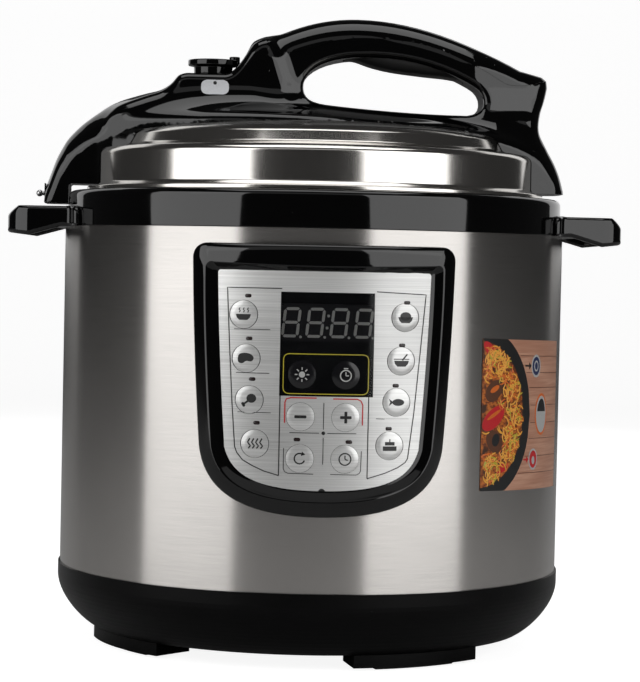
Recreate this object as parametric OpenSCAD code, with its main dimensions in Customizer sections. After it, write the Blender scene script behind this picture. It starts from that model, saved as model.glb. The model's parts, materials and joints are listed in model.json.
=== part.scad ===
// Electric pressure cooker, about six litres, with a bridge-handled bayonet lid.
// Front (control panel) faces -Y, the carrying ears point along -X and +X, +Z is up.
// The origin is on the table, under the centre of the body.

/* [Body] */
// Outer radius of the brushed steel sleeve
body_r = 140.5; // [132:0.5:160]
// Height of the sleeve that shows between base and ring
body_h = 188; // [150:1:240]
// Sheet thickness of the sleeve
sleeve_t = 0.8; // [0.6:0.1:1.2]

/* [Base] */
// Height of the top edge of the plastic base above the table
base_h = 43; // [38:1:55]
// How far the base stands proud of the sleeve
base_proud = 1; // [0.5:0.1:2]
// Wall of the base shell
base_wall = 3; // [2:0.5:4]
// Radius of the opening that the bottom cover closes
cover_r = 92; // [80:1:96]
// Height of the moulded feet under the base
foot_h = 8.5; // [6:0.5:12]
// Angle of the first foot, measured from the front
foot_angle = 28; // [0:1:45]
// Arc that each foot covers
foot_arc = 37; // [25:1:45]

/* [Top ring] */
// Height of the gloss ring above the sleeve
ring_h = 20.2; // [16:0.2:26]
// How far the ring stands back from the sleeve
ring_inset = 1.5; // [0.5:0.1:3]
// Width of the ring from its outside to the pot mouth
ring_w = 8.7; // [7:0.1:11]

/* [Ears] */
// How far each ear reaches out from the sleeve
ear_reach = 31.5; // [25:0.5:38]
// Width of an ear where it meets the ring
ear_w = 98; // [80:1:110]
// Height of an ear at its outer end
ear_h = 16.4; // [12:0.2:18]
// Wall of the ear shell
ear_wall = 3.2; // [2.5:0.1:5]

/* [Pots] */
// Outer radius of the removable inner pot
pot_r = 113; // [105:0.5:114]
// Wall of the inner pot
pot_t = 1; // [0.8:0.1:2]
// Height of the inner pot
pot_h = 170; // [140:1:200]
// Gap between the inner pot and the outer pot
pot_gap = 2.5; // [1.5:0.1:4]
// Wall of the outer pot
outer_t = 1.5; // [1:0.1:2.5]

/* [Bayonet] */
// Number of locking lugs
lugs = 8; // [6:1:9]
// Arc of each lug of the lid
lug_arc = 18; // [10:1:20]
// Thickness of a lug
lug_t = 3; // [2:0.5:4]
// Free space left around a lug
lug_gap = 0.6; // [0.4:0.1:1]

/* [Lid] */
// Gap between the rolled edge of the steel lid and the ring
flange_gap = 1.5; // [1:0.1:3]
// How far the lid's tall wall stands in from the rolled edge
wall_in = 6.4; // [5:0.1:9]
// Height of that wall
wall_h = 17.6; // [12:0.2:24]
// How far the upper step stands in from the tall wall
step_in = 16.4; // [10:0.1:24]
// Height of the crown above the ring
crown_h = 41.3; // [36:0.1:48]
// Sheet thickness of the lid
lid_t = 1; // [0.8:0.1:1.5]

/* [Bridge and handle] */
// Half width of the bridge cover at its middle
bridge_w = 44; // [36:1:52]
// Half width of its left end
bridge_left_w = 14; // [12:0.5:20]
// Half width of its right end
bridge_right_w = 22; // [16:0.5:28]
// Wall of the bridge cover
bridge_wall = 3; // [2:0.5:4]
// Half width of the grip
grip_w = 17; // [13:0.5:20]
// Height of the grip's highest point above the ring
grip_top = 100.4; // [96:0.2:108]

/* [Control panel] */
// Height of the panel frame's top edge above the table
panel_top = 222.8; // [200:0.2:225]
// Height of the panel frame
panel_h = 140; // [125:1:150]
// Half width of the panel frame at its top
panel_w = 69.5; // [64:0.5:74]
// How far the frame stands proud of the sleeve
panel_proud = 7; // [5:0.5:10]
// Radius of a round key
key_r = 7.2; // [5:0.1:7.5]
// Free space round a key
key_gap = 0.3; // [0.2:0.05:0.5]
// Travel of a key
key_travel = 0.4; // [0.2:0.1:0.6]

/* [Steam valve] */
// Distance of the valve from the lid's centre
valve_x = 59.5; // [50:0.5:66]
// Radius of the knob's rim
knob_r = 14.2; // [12:0.1:16]

/* [Hidden] */

$fn = 96;
eps = 0.01;
fit = 0.1;
clear = 0.5;

// Levels, from the table upwards
foot_pad_h = 1.6;
base_z = foot_h;
sleeve_z = base_h;
ring_z = sleeve_z + body_h;
ring_top = ring_z + ring_h;
ring_r = body_r - ring_inset;
mouth_r = ring_r - ring_w;
base_r = body_r + base_proud;
base_curve_z = base_h - 7;
base_floor_r = base_r - 19.5;
sleeve_tuck = 4;

// Ears, and the screws that hold them to the ring
ear_top = ring_top - 9.4;
ear_low = ear_top - ear_h;
ear_end = body_r + ear_reach;
ear_screw_y = 18;
ear_screw_z = ring_z + 6;

// Radii that follow from the inner pot, outwards to the collar that holds the inward lugs
outer_r = pot_r + pot_gap + outer_t;
pot_rim_w = 4.2;
seal_out = pot_r + 2.9;
skirt_t = 2;
skirt_r = seal_out + skirt_t + 0.4;
pot_lug_r = skirt_r + 1.6;
collar_wall_r = pot_lug_r + outer_t + 4.7;
collar_r = mouth_r - 0.6;

// Levels of the collar and the lugs, from the ring downwards
collar_top = ring_top - 4.4;
pot_flange_t = 2.2;
pot_lug_top = collar_top - 0.6;
pot_lug_z = pot_lug_top - lug_t;
lid_lug_top = pot_lug_z - lug_gap;
lid_lug_z = lid_lug_top - lug_t;
pot_top = lid_lug_z - 1.5;
pot_z = pot_top - pot_h;
shelf_z = pot_top - 5;
plate_h = 10;
plate_z = pot_z - plate_h;
outer_floor_z = plate_z - outer_t;
plate_r = 86;
sensor_r = 10;
seal_clear = 0.35;
sensor_top = pot_z - seal_clear;

// Lid
flange_r = mouth_r - flange_gap;
wall_r = flange_r - wall_in;
step_r = wall_r - step_in;
lid_z = ring_top + 0.6;
flange_top = lid_z + 2;
wall_z = lid_z + 3.5;
wall_top = wall_z + wall_h;
step_z = wall_top + 5;
step_top = step_z + 5.4;
crown_z = ring_top + crown_h;
plate_top = lid_lug_top + 7;
lug_plate_t = 2.5;

// Sealing ring, seated on the rim of the inner pot
seal_in = seal_out - 9.5;
seal_z = pot_top + seal_clear;
seal_top = plate_top - lug_plate_t - 0.4;

// Bridge cover, in the lid's own heights above the ring
bridge_left_x = body_r + 11.8;
bridge_right_x = ring_r - 1.1;
bridge_left_z = ring_top - 7.5;
bridge_right_z = ring_top + 4.6;
grip_z = ring_top + grip_top;
platform_z = ring_top + 67;
pod_w = 20;
cover_gap = 0.3;

// Panel depth, measured as radii about the body's centre line
frame_r = body_r + panel_proud;
film_r = frame_r - 2.9;
film_t = 0.6;
frame_back_r = body_r - 3;
board_y = body_r - 12;
panel_z = panel_top - panel_h;

// Keys: distance from the panel's centre line and drop below its top edge
key_side_x = [41.5, 39.8, 37.8, 34.6];
key_side_drop = [36.6, 59, 80.2, 102.6];
key_mid_x = 11.6;
key_mid_drop = 88.2;
key_low_drop = 109.6;
key_window_x = 11.2;
key_window_drop = 66.6;

// Indicator lights: size, and how far their middles lie above a key's edge
light_w = 3.4;
light_h = 1.9;
light_rise = key_r + 1.7;
light_low_rise = key_r + 1.2;

// Silver film, frame rim and dark window
film_inset = 14;
rim_inset = 8.2;
window_w = 51;
window_h = 53.2;
window_top = panel_top - 24.5;

// Screws that hold the bridge cover to posts on the lug plate
cover_screw_x = [-28, 52];
cover_screw_y = 27;

// Valve and interlock
vent_r = 4.5;
vent_top = platform_z - 17.5;
knob_neck_r = 10.75;
rod_z = ring_top - 1.7;
rod_r = 1.2;
float_x = (valve_x + pot_r + 3.5) / 2;
arch_x = 28.5 - valve_x;
float_r = 3;
float_top = ring_top + 49;

// Inlet
inlet_w = 30;
inlet_h = 23;
inlet_z = base_h - 16.5;
inlet_cavity_w = 24.6;
inlet_cavity_h = 16.8;
inlet_y = base_r + 1.2;
inlet_cavity_d = 15;

// Condensate cup
cup_w = 46;
cup_d = 20;
cup_h = 44;
cup_t = 1.6;
cup_top = ring_z - 3;
cup_y = body_r + 4.2;

// ---------- helper functions ----------

// Points on a cubic curve, from its first point up to, but not with, its last
function curve(a, b, c, d, n = 12) = [
  for (i = [0 : n - 1]) let (t = i / n, s = 1 - t)
    s * s * s * a + 3 * s * s * t * b + 3 * s * t * t * c + t * t * t * d
];

function mirrored(points) = [for (i = [len(points) - 1 : -1 : 0]) [-points[i][0], points[i][1]]];

// ---------- helper modules ----------

// A ring segment: pie of a given arc about the front direction, between two radii
module arc_block(r_in, r_out, z0, z1, mid, arc) {
  rotate([0, 0, mid - 90 - arc / 2])
    rotate_extrude(angle = arc)
      translate([r_in, z0])
        square([r_out - r_in, z1 - z0]);
}

module tube(r_in, r_out, z0, z1) {
  difference() {
    translate([0, 0, z0]) cylinder(r = r_out, h = z1 - z0);
    translate([0, 0, z0 - 1]) cylinder(r = r_in, h = z1 - z0 + 2);
  }
}

// Places children on the front face at an angle, with +Z pointing out of the face
module on_front(angle, r, z) {
  rotate([0, 0, angle])
    translate([0, -r, z])
      rotate([90, 0, 0])
        children();
}

// A prism whose outline lies in the X-Z plane, reaching from y0 to y1
module front_prism(outline, y0, y1) {
  translate([0, y1, 0])
    rotate([90, 0, 0])
      linear_extrude(y1 - y0)
        polygon(outline);
}

module coil_spring(r, wire, h, turns, steps = 12, sides = 6) {
  n = turns * steps;
  ring_points = [
    for (i = [0 : n]) for (k = [0 : sides - 1])
      let (a = 360 * i / steps, b = 360 * k / sides, rr = r + wire * cos(b))
        [rr * cos(a), rr * sin(a), wire + (h - 2 * wire) * i / n + wire * sin(b)]
  ];
  side_faces = [
    for (i = [0 : n - 1]) for (k = [0 : sides - 1])
      let (m = (k + 1) % sides)
        [i * sides + k, (i + 1) * sides + k, (i + 1) * sides + m, i * sides + m]
  ];
  first_cap = [for (k = [0 : sides - 1]) k];
  last_cap = [for (k = [sides - 1 : -1 : 0]) n * sides + k];
  polyhedron(points = ring_points, faces = concat(side_faces, [first_cap, last_cap]), convexity = 10);
}

// ---------- base ----------

function base_side(inset) = concat(
  [[base_r - inset, base_h]],
  curve(
    [base_r - inset, base_curve_z],
    [base_r - inset, base_curve_z - 9],
    [base_r - 9.5 - inset, base_z + 5.5 + inset],
    [base_floor_r - inset, base_z + inset]
  ),
  [[base_floor_r - inset, base_z + inset]]
);

module foot_blocks(r_in, r_out, z0, z1, arc) {
  for (i = [0 : 3])
    arc_block(r_in, r_out, z0, z1, foot_angle + 90 * i, arc);
}

// Draws the children at every screw of the bottom cover, midway between the feet
module at_base_screws() {
  for (i = [0 : 3])
    rotate([0, 0, foot_angle - 45 + 90 * i])
      translate([cover_r + 2.4, 0, 0]) children();
}

module base_shell() {
  color("#151515")
    difference() {
      union() {
        rotate_extrude()
          polygon(concat(
            base_side(0),
            [[cover_r, base_z], [cover_r, base_z + base_wall]],
            [for (i = [len(base_side(base_wall)) - 1 : -1 : 1]) base_side(base_wall)[i]],
            [
              [base_r - base_wall, base_h - sleeve_tuck - 2],
              [body_r - 2.6, base_h - sleeve_tuck],
              [body_r + fit, base_h - sleeve_tuck],
              [body_r + fit, base_h]
            ]
          ));
        foot_blocks(cover_r + 4, base_floor_r - 0.5, foot_pad_h, base_z + 1, foot_arc);
        foot_blocks(cover_r + 8, base_floor_r - 8, base_z + 1, base_z + 12, 8);
      }
      foot_blocks(cover_r + 8, base_floor_r - 5, foot_pad_h - 1, foot_pad_h + 2, foot_arc - 12);
      for (i = [0 : 3])
        rotate([0, 0, foot_angle + 90 * i - 90])
          translate([(cover_r + base_floor_r) / 2, 0, -1])
            cylinder(r = 1.7, h = base_z + 12);
      translate([-inlet_w / 2 - fit, base_r - 32, inlet_z - inlet_h / 2 - fit])
        cube([inlet_w + 2 * fit, 40, inlet_h + 2 * fit]);
      at_base_screws() translate([0, 0, base_z - 1]) cylinder(r = 1.4, h = base_wall + 2);
    }
}

module bottom_cover() {
  cover_t = 2.2;
  slot_w = 4;
  color("#1d1d1d")
    difference() {
      union() {
        translate([0, 0, base_z - cover_t - fit]) cylinder(r = cover_r + 3.6, h = cover_t);
        translate([0, 0, base_z - fit - eps]) cylinder(r = cover_r - 0.6, h = 2);
      }
      for (i = [-5 : 5])
        for (s = [-1, 1])
          translate([i * 2.6 * slot_w - slot_w / 2, s * 42 - 22, 0])
            cube([slot_w, 44, base_z + 5]);
      at_base_screws() cylinder(r = 1.6, h = base_z + 5);
    }
}

module rubber_feet() {
  color("#262626")
    foot_blocks(cover_r + 8.3, base_floor_r - 5.3, 0, foot_pad_h + 1.9, foot_arc - 13);
}

module body_screws() {
  color("silver") {
    at_base_screws()
      translate([0, 0, base_z - 2.4])
        union() {
          translate([0, 0, -1.4]) cylinder(r = 2.6, h = 1.5);
          cylinder(r = 1.3, h = 9);
        }
    for (s = [-1, 1])
      for (y = [-ear_screw_y, ear_screw_y])
        translate([s * (ring_r - 11), y, ear_screw_z])
          rotate([0, s * 90, 0])
            union() {
              translate([0, 0, -1.8]) cylinder(r = 3, h = 1.8);
              cylinder(r = 1.5, h = 16);
            }
  }
}

// ---------- sleeve, ring and ears ----------

module body_sleeve() {
  tuck_r = body_r - 5;
  color("#b9b4ae")
    difference() {
      union() {
        tube(body_r - sleeve_t, body_r, base_h - sleeve_tuck + fit, ring_z);
        tube(tuck_r, body_r - sleeve_t + eps, ring_z - sleeve_t, ring_z);
      }
      front_prism(panel_outline(5), -body_r - 10, -60);
    }
}

module top_ring() {
  color("#080808")
    difference() {
      rotate_extrude()
        polygon(concat(
          [[ring_r, ring_z + fit]],
          curve(
            [ring_r, ring_top - 4.2],
            [ring_r, ring_top - 1.6],
            [ring_r - 1.2, ring_top],
            [ring_r - 3.6, ring_top],
            8
          ),
          [
            [ring_r - 3.6, ring_top],
            [mouth_r + 1, ring_top],
            [mouth_r, ring_top - 1],
            [mouth_r, collar_top - pot_flange_t - fit],
            [mouth_r - 2.4, collar_top - pot_flange_t - fit],
            [mouth_r - 2.4, collar_top - pot_flange_t - 3],
            [ring_r - 3, collar_top - pot_flange_t - 3],
            [ring_r - 3, ring_z + fit]
          ]
        ));
      for (s = [-1, 1])
        for (y = [-ear_screw_y, ear_screw_y])
          translate([s * (ring_r - 8), y, ear_screw_z])
            rotate([0, s * 90, 0])
              cylinder(r = 1.6, h = 20);
      translate([0, ring_r - 10, ring_z + 9])
        rotate([-90, 0, 0])
          cylinder(r = 3, h = 20);
    }
}

function ear_plan(inset) = concat(
  [[ring_r - 20, ear_w / 2 - 6 - inset], [ring_r - 1, ear_w / 2 - 8 - inset]],
  curve(
    [ear_end - 16, ear_w / 2 - 11 - inset],
    [ear_end - 5, ear_w / 2 - 12 - inset],
    [ear_end - inset, ear_w / 2 - 17 - inset],
    [ear_end - inset, ear_w / 2 - 27 - inset],
    8
  ),
  [[ear_end - inset, ear_w / 2 - 27 - inset]]
);

function both_sides(half) = concat(
  half,
  [for (i = [len(half) - 1 : -1 : 0]) [half[i][0], -half[i][1]]]
);

// The right ear: a shell with a flat top, open underneath for the fingers
module ear() {
  root_z = ring_z + fit;
  difference() {
    union() {
      intersection() {
        translate([0, 0, ear_low])
          linear_extrude(ear_h)
            polygon(both_sides(ear_plan(0)));
        front_prism([
          [ring_r - 20, ear_low + 4.4],
          [body_r + 1, ear_low + 4.4],
          [ear_end - 12, ear_low + 1.4],
          [ear_end, ear_low],
          [ear_end, ear_top - 5.4],
          [ear_end - 7, ear_top],
          [ring_r - 20, ear_top]
        ], -ear_w, ear_w);
      }
      intersection() {
        tube(ring_r + fit, ring_r + 3.4, root_z, ear_top);
        rotate([90, 0, 90])
          linear_extrude(body_r + 20)
            polygon(concat(
              curve(
                [ear_w / 2, root_z],
                [ear_w / 2 - 1, ear_top - 4],
                [ear_w / 2 - 4, ear_top],
                [ear_w / 2 - 12, ear_top],
                8
              ),
              [[ear_w / 2 - 12, ear_top], [12 - ear_w / 2, ear_top]],
              curve(
                [12 - ear_w / 2, ear_top],
                [4 - ear_w / 2, ear_top],
                [1 - ear_w / 2, ear_top - 4],
                [-ear_w / 2, root_z],
                8
              ),
              [[-ear_w / 2, root_z]]
            ));
      }
    }
    intersection() {
      translate([0, 0, ear_low - 1])
        linear_extrude(ear_h + 1 - ear_wall)
          polygon(both_sides(ear_plan(ear_wall)));
      front_prism([
        [body_r + 3.6, ear_low - 1],
        [ear_end + 1, ear_low - 1],
        [ear_end + 1, ear_top - 5.4],
        [ear_end - 7 - ear_wall, ear_top - ear_wall],
        [body_r + 3.6, ear_top - ear_wall]
      ], -ear_w, ear_w);
    }
    cylinder(r = ring_r + fit, h = ring_top);
    cylinder(r = body_r + fit, h = ring_z + fit);
    for (y = [-ear_screw_y, ear_screw_y])
      translate([ring_r - 11, y, ear_screw_z])
        rotate([0, 90, 0])
          cylinder(r = 1.6, h = 17);
  }
}

module side_handle_right() {
  color("#0a0a0a") ear();
}

module side_handle_left() {
  color("#0a0a0a") mirror([1, 0, 0]) ear();
}

// ---------- pots and heating ----------

module outer_pot() {
  color("#a9aaab")
    difference() {
      union() {
        rotate_extrude()
          polygon([
            [plate_r - 14, outer_floor_z],
            [outer_r, outer_floor_z],
            [outer_r, shelf_z - outer_t],
            [collar_wall_r, shelf_z - outer_t],
            [collar_wall_r, collar_top - pot_flange_t],
            [collar_r, collar_top - pot_flange_t],
            [collar_r, collar_top],
            [collar_wall_r - outer_t, collar_top],
            [collar_wall_r - outer_t, shelf_z],
            [outer_r - outer_t, shelf_z],
            [outer_r - outer_t, plate_z],
            [plate_r - 14, plate_z]
          ]);
        for (i = [0 : lugs - 1])
          arc_block(pot_lug_r, collar_wall_r - outer_t + 0.4, pot_lug_z, pot_lug_top,
            360 / lugs * (i + 0.5), 360 / lugs - lug_arc - 5);
      }
      translate([0, collar_wall_r - 4, ring_z + 9])
        rotate([-90, 0, 0])
          cylinder(r = 2.5, h = 12);
      for (i = [0 : 2])
        rotate([0, 0, 120 * i])
          translate([plate_r - 8, 0, outer_floor_z - 1])
            cylinder(r = 2.2, h = 5);
    }
}

module heat_shield() {
  shield_r = outer_r + 4;
  color("#c9cacb")
    tube(shield_r, shield_r + 0.6, outer_floor_z - 6, shelf_z - outer_t - 2);
}

module heating_plate() {
  color("#8f9193")
    difference() {
      union() {
        translate([0, 0, plate_z + eps]) cylinder(r = plate_r, h = plate_h - 0.4);
        translate([0, 0, plate_z - 9]) cylinder(r = plate_r - 15, h = 9 + 2 * eps);
        for (s = [-1, 1])
          translate([s * 46, -46, plate_z - 14]) cylinder(r = 3, h = 6);
      }
      translate([0, 0, plate_z - 20]) cylinder(r = sensor_r + clear, h = 40);
      for (i = [0 : 2])
        rotate([0, 0, 120 * i])
          translate([plate_r - 8, 0, plate_z - 1])
            cylinder(r = 1.8, h = 6);
    }
}

module temperature_sensor() {
  color("#d0d1d2") {
    difference() {
      union() {
        translate([0, 0, sensor_top - 9]) cylinder(r = sensor_r, h = 8.2);
        translate([0, 0, sensor_top - 1]) cylinder(r = sensor_r - 1, h = 1);
        translate([0, 0, sensor_top - 26]) cylinder(r = 3, h = 18);
      }
      translate([0, 0, sensor_top - 30]) cylinder(r = 1.6, h = 22);
    }
  }
}

module sensor_spring() {
  color("silver")
    translate([0, 0, sensor_top - 23.4])
      coil_spring(5.4, 0.6, 14, 4);
}

module pressure_switch() {
  bracket_z = plate_z - 10.8;
  color("#6d6f70") {
    difference() {
      translate([-30, 54, bracket_z])
        cube([60, 16, 1.6]);
      for (s = [-1, 1])
        translate([s * 24, 62, bracket_z - 2]) cylinder(r = 2, h = 6);
    }
    translate([-9, 56, bracket_z - 10.8]) cube([18, 12, 10.8 + eps]);
    for (s = [-1, 1])
      translate([s * 5 - 0.4, 60, bracket_z - 16.8]) cube([0.8, 4.5, 6 + eps]);
  }
}

module power_board() {
  color("#2d5a34")
    difference() {
      translate([-52, -74, base_z + 9]) cube([104, 58, 1.6]);
      for (s = [-1, 1])
        for (y = [-70, -20])
          translate([s * 47, y, base_z + 5]) cylinder(r = 1.7, h = 8);
    }
}

module power_board_parts() {
  deck = base_z + 10.6;
  color("#303236") {
    translate([-44, -68, deck]) cube([19, 15, 12]);
    translate([-18, -69, deck]) cube([22, 18, 10]);
    translate([12, -52, deck]) cylinder(r = 5, h = 14);
    translate([28, -52, deck]) cylinder(r = 6.5, h = 11);
    translate([20, -38, deck]) cube([18, 8, 11]);
    for (i = [0 : 3])
      translate([-42 + 10 * i, -30, deck]) cube([6, 6, 8]);
  }
}

module thermal_fuse() {
  color("#c8b46a")
    translate([0, -62, plate_z - 12.2])
      union() {
        translate([-13, 0, 0]) rotate([0, 90, 0]) cylinder(r = 2.6, h = 26);
        translate([-16, -4.5, 2.4]) cube([32, 9, 0.8]);
      }
}

module inlet_socket() {
  color("#101010")
    difference() {
      union() {
        translate([-inlet_w / 2, base_r - 28, inlet_z - inlet_h / 2])
          cube([inlet_w, inlet_y - base_r + 28, inlet_h]);
        translate([-inlet_w / 2 - 3, base_r + 0.4, inlet_z - inlet_h / 2 + 0.5])
          cube([inlet_w + 6, inlet_y - base_r - 0.4, inlet_h + 1.5]);
      }
      translate([-inlet_cavity_w / 2, inlet_y - inlet_cavity_d, inlet_z - inlet_cavity_h / 2])
        cube([inlet_cavity_w, inlet_cavity_d + 1, inlet_cavity_h]);
      for (x = [-7, 0, 7])
        translate([x - 1 - fit, base_r - 30, inlet_z - (x == 0 ? -1 : 4) - fit])
          cube([2 + 2 * fit, 30, 4 + 2 * fit]);
    }
}

module inlet_pins() {
  pin_back = base_r - 34;
  pin_front = inlet_y - 3;
  color("#c9c9c6")
    for (x = [-7, 0, 7])
      translate([x - 1, pin_back, inlet_z - (x == 0 ? -1 : 4)])
        cube([2, pin_front - pin_back, 4]);
}

// ---------- control panel ----------

// Outline of the panel frame, drawn in by a given distance on every side
function panel_half(inset) = concat(
  curve(
    [0, panel_z + inset],
    [36, panel_z + inset],
    [panel_w - 9 - inset, panel_z + 8 + inset],
    [panel_w - 5.2 - inset, panel_z + 35],
    14
  ),
  [[panel_w - 5.2 - inset, panel_z + 35]],
  curve(
    [panel_w - 0.4 - inset, panel_top - 8 - inset],
    [panel_w - 0.2 - inset, panel_top - 3.4 - inset],
    [panel_w - 3.6 - inset, panel_top - inset],
    [panel_w - 8 - inset, panel_top - inset],
    8
  ),
  [[panel_w - 8 - inset, panel_top - inset]]
);

function panel_outline(inset) = concat(panel_half(inset), mirrored(panel_half(inset)));

module panel_frame() {
  color("#060606")
    difference() {
      intersection() {
        front_prism(panel_outline(0), -frame_r - 5, -80);
        tube(frame_back_r, frame_r - 2.4, panel_z - 10, panel_top + 10);
      }
      front_prism(panel_outline(film_inset + 4), -frame_r - 5, -60);
      intersection() {
        front_prism(panel_outline(film_inset - fit), -frame_r - 6, -60);
        tube(film_r - film_t - fit, frame_r + 2, panel_z - 12, panel_top + 12);
      }
      difference() {
        front_prism(panel_outline(-6), -body_r - 1, -60);
        front_prism(panel_outline(5.4), -body_r - 2, -59);
        tube(body_r + fit, frame_r + 5, panel_z - 12, panel_top + 12);
      }
    }
  color("#060606")
    intersection() {
      difference() {
        front_prism(panel_outline(1.6), -frame_r - 5, -80);
        front_prism(panel_outline(rim_inset), -frame_r - 6, -79);
      }
      tube(frame_r - 2.4 - eps, frame_r, panel_z - 10, panel_top + 10);
    }
}

module window_prism(grow, y0) {
  translate([-window_w / 2 - grow, -frame_r - 5, window_top - window_h - grow])
    cube([window_w + 2 * grow, frame_r + 5 + y0, window_h + 2 * grow]);
}

function key_angle(x) = asin(x / film_r);

// Draws the children at every round key of the silver film
module at_keys() {
  for (i = [0 : 3])
    for (s = [-1, 1])
      on_front(key_angle(s * key_side_x[i]), 0, panel_top - key_side_drop[i]) children();
  for (s = [-1, 1])
    for (drop = [key_mid_drop, key_low_drop])
      on_front(key_angle(s * key_mid_x), 0, panel_top - drop) children();
}

// Draws the children at the two keys behind the dark window
module at_window_keys() {
  for (s = [-1, 1])
    on_front(key_angle(s * key_window_x), 0, panel_top - key_window_drop) children();
}

// Draws the children at every indicator light
module at_lights() {
  for (i = [0 : 3])
    for (s = [-1, 1])
      on_front(key_angle(s * (key_side_x[i] - 0.4)), 0, panel_top - key_side_drop[i] + light_rise)
        children();
  for (s = [-1, 1])
    on_front(key_angle(s * (key_mid_x + 1.4)), 0, panel_top - key_low_drop + light_low_rise) children();
}

module light_block(grow, r0, r1) {
  translate([-light_w / 2 - grow, -light_h / 2 - grow, r0])
    cube([light_w + 2 * grow, light_h + 2 * grow, r1 - r0]);
}

module panel_overlay() {
  color("#c4c4c2")
    difference() {
      intersection() {
        front_prism(panel_outline(film_inset), -frame_r - 5, -80);
        tube(film_r - film_t, film_r, panel_z, panel_top);
      }
      window_prism(fit, -80);
      at_keys() cylinder(r = key_r + key_gap, h = frame_r + 5);
      at_lights() light_block(fit, film_r - 10, film_r + 5);
      translate([0, -90, panel_z + film_inset])
        rotate([90, 0, 0])
          cylinder(r = 1.8, h = frame_r);
    }
}

module display_window() {
  color([0.04, 0.04, 0.05, 0.6])
    difference() {
      intersection() {
        window_prism(0, -80);
        tube(film_r - film_t, film_r, panel_z, panel_top);
      }
      at_window_keys() cylinder(r = key_r + key_gap, h = frame_r + 5);
    }
}

module display_module() {
  digits_z = window_top - 15.6;
  module_w = 50.3;
  module_h = 19;
  module_d = 8;
  module_y = -film_r + film_t + 3.4;
  color("#1a1a1d") {
    translate([-module_w / 2, module_y, digits_z - module_h / 2])
      cube([module_w, module_d, module_h]);
    for (i = [-2.5 : 2.5])
      for (s = [-1, 1])
        translate([i * 2.54 - 0.25, module_y + module_d - eps, digits_z + s * 7.62 - 0.25])
          cube([0.5, -board_y - module_y - module_d, 0.5]);
  }
}

module control_board() {
  color("#2f6b3c")
    difference() {
      translate([-46, -board_y, panel_z + 18]) cube([92, 1.6, panel_h - 36]);
      for (s = [-1, 1])
        for (z = [panel_z + 22, panel_top - 22])
          translate([s * 42, -board_y - 2, z]) rotate([-90, 0, 0]) cylinder(r = 1.5, h = 8);
    }
}

// Angle-following stalks keep every switch square to its key
module tact_switches() {
  stalk_r = film_r - film_t - key_travel - 0.9;
  color("#b8b8b8") {
    intersection() {
      union() {
        at_keys() cylinder(r = 1.7, h = stalk_r);
        at_window_keys() cylinder(r = 1.7, h = stalk_r);
      }
      translate([-60, -frame_r, panel_z]) cube([120, frame_r - board_y - 3, panel_h]);
    }
    intersection() {
      union() {
        at_keys() translate([-3, -3, 60]) cube([6, 6, frame_r - 60]);
        at_window_keys() translate([-3, -3, 60]) cube([6, 6, frame_r - 60]);
      }
      translate([-60, -board_y - 3.1, panel_z]) cube([120, 3.1, panel_h]);
    }
  }
}

module indicator_lights() {
  color("#5a1c1c")
    intersection() {
      at_lights() light_block(0, film_r - 2.6, film_r + 3);
      tube(film_r - 3, film_r, panel_z, panel_top);
    }
}

module body_sticker() {
  color("#c46a3a")
    arc_block(body_r + 0.06, body_r + 0.3, ring_z - 136, ring_z - 52, 57, 33.5);
}

// A key: a shallow dome that stands just proud of the film
module key(x, drop, r) {
  on_front(key_angle(x), 0, panel_top - drop)
    union() {
      translate([0, 0, film_r - film_t - 0.4]) cylinder(r = r, h = film_t + 0.6);
      translate([0, 0, film_r + 0.2 - eps]) cylinder(r1 = r - 0.8, r2 = r - 3, h = 0.5);
    }
}

module button_soup() { color("#cfcfcc") key(-key_side_x[0], key_side_drop[0], key_r); }
module button_meat() { color("#cfcfcc") key(-key_side_x[1], key_side_drop[1], key_r); }
module button_chicken() { color("#cfcfcc") key(-key_side_x[2], key_side_drop[2], key_r); }
module button_steam() { color("#cfcfcc") key(-key_side_x[3], key_side_drop[3], key_r); }
module button_rice() { color("#cfcfcc") key(key_side_x[0], key_side_drop[0], key_r); }
module button_porridge() { color("#cfcfcc") key(key_side_x[1], key_side_drop[1], key_r); }
module button_fish() { color("#cfcfcc") key(key_side_x[2], key_side_drop[2], key_r); }
module button_cake() { color("#cfcfcc") key(key_side_x[3], key_side_drop[3], key_r); }
module button_reheat() { color("#cfcfcc") key(-key_mid_x, key_low_drop, key_r); }
module button_slow_cook() { color("#cfcfcc") key(key_mid_x, key_low_drop, key_r); }
module button_minus() { color("#cfcfcc") key(-key_mid_x, key_mid_drop, key_r); }
module button_plus() { color("#cfcfcc") key(key_mid_x, key_mid_drop, key_r); }
module button_keep_warm() { color("#101012") key(-key_window_x, key_window_drop, key_r); }
module button_delay() { color("#101012") key(key_window_x, key_window_drop, key_r); }

// ---------- condensate cup ----------

module cup_bracket() {
  rail_z = cup_top - 26;
  color("#0c0c0c")
    difference() {
      union() {
        translate([-cup_w / 2 - 4, body_r - 6, rail_z]) cube([cup_w + 8, cup_y - body_r + 5.4, 22]);
        for (s = [-1, 1])
          translate([s * (cup_w / 2 + 2.4) - 1.6, cup_y - 1, rail_z]) cube([3.2, 9, 22]);
      }
      cylinder(r = body_r + fit, h = ring_top);
    }
}

module condensate_cup() {
  color([0.75, 0.78, 0.8, 0.5])
    difference() {
      union() {
        translate([-cup_w / 2, cup_y, cup_top - cup_h]) cube([cup_w, cup_d, cup_h]);
        translate([-cup_w / 2 - 4, cup_y + 8.6, cup_top - 22]) cube([cup_w + 8, 2, 18]);
        for (s = [-1, 1])
          translate([s * (cup_w / 2 + 2.2) - 1.8, cup_y + 4, cup_top - 3.4]) cube([3.6, 6, 3.4]);
      }
      translate([-cup_w / 2 + cup_t, cup_y + cup_t, cup_top - cup_h + cup_t])
        cube([cup_w - 2 * cup_t, cup_d - 2 * cup_t, cup_h]);
    }
}

// ---------- inner pot and seal ----------

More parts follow.
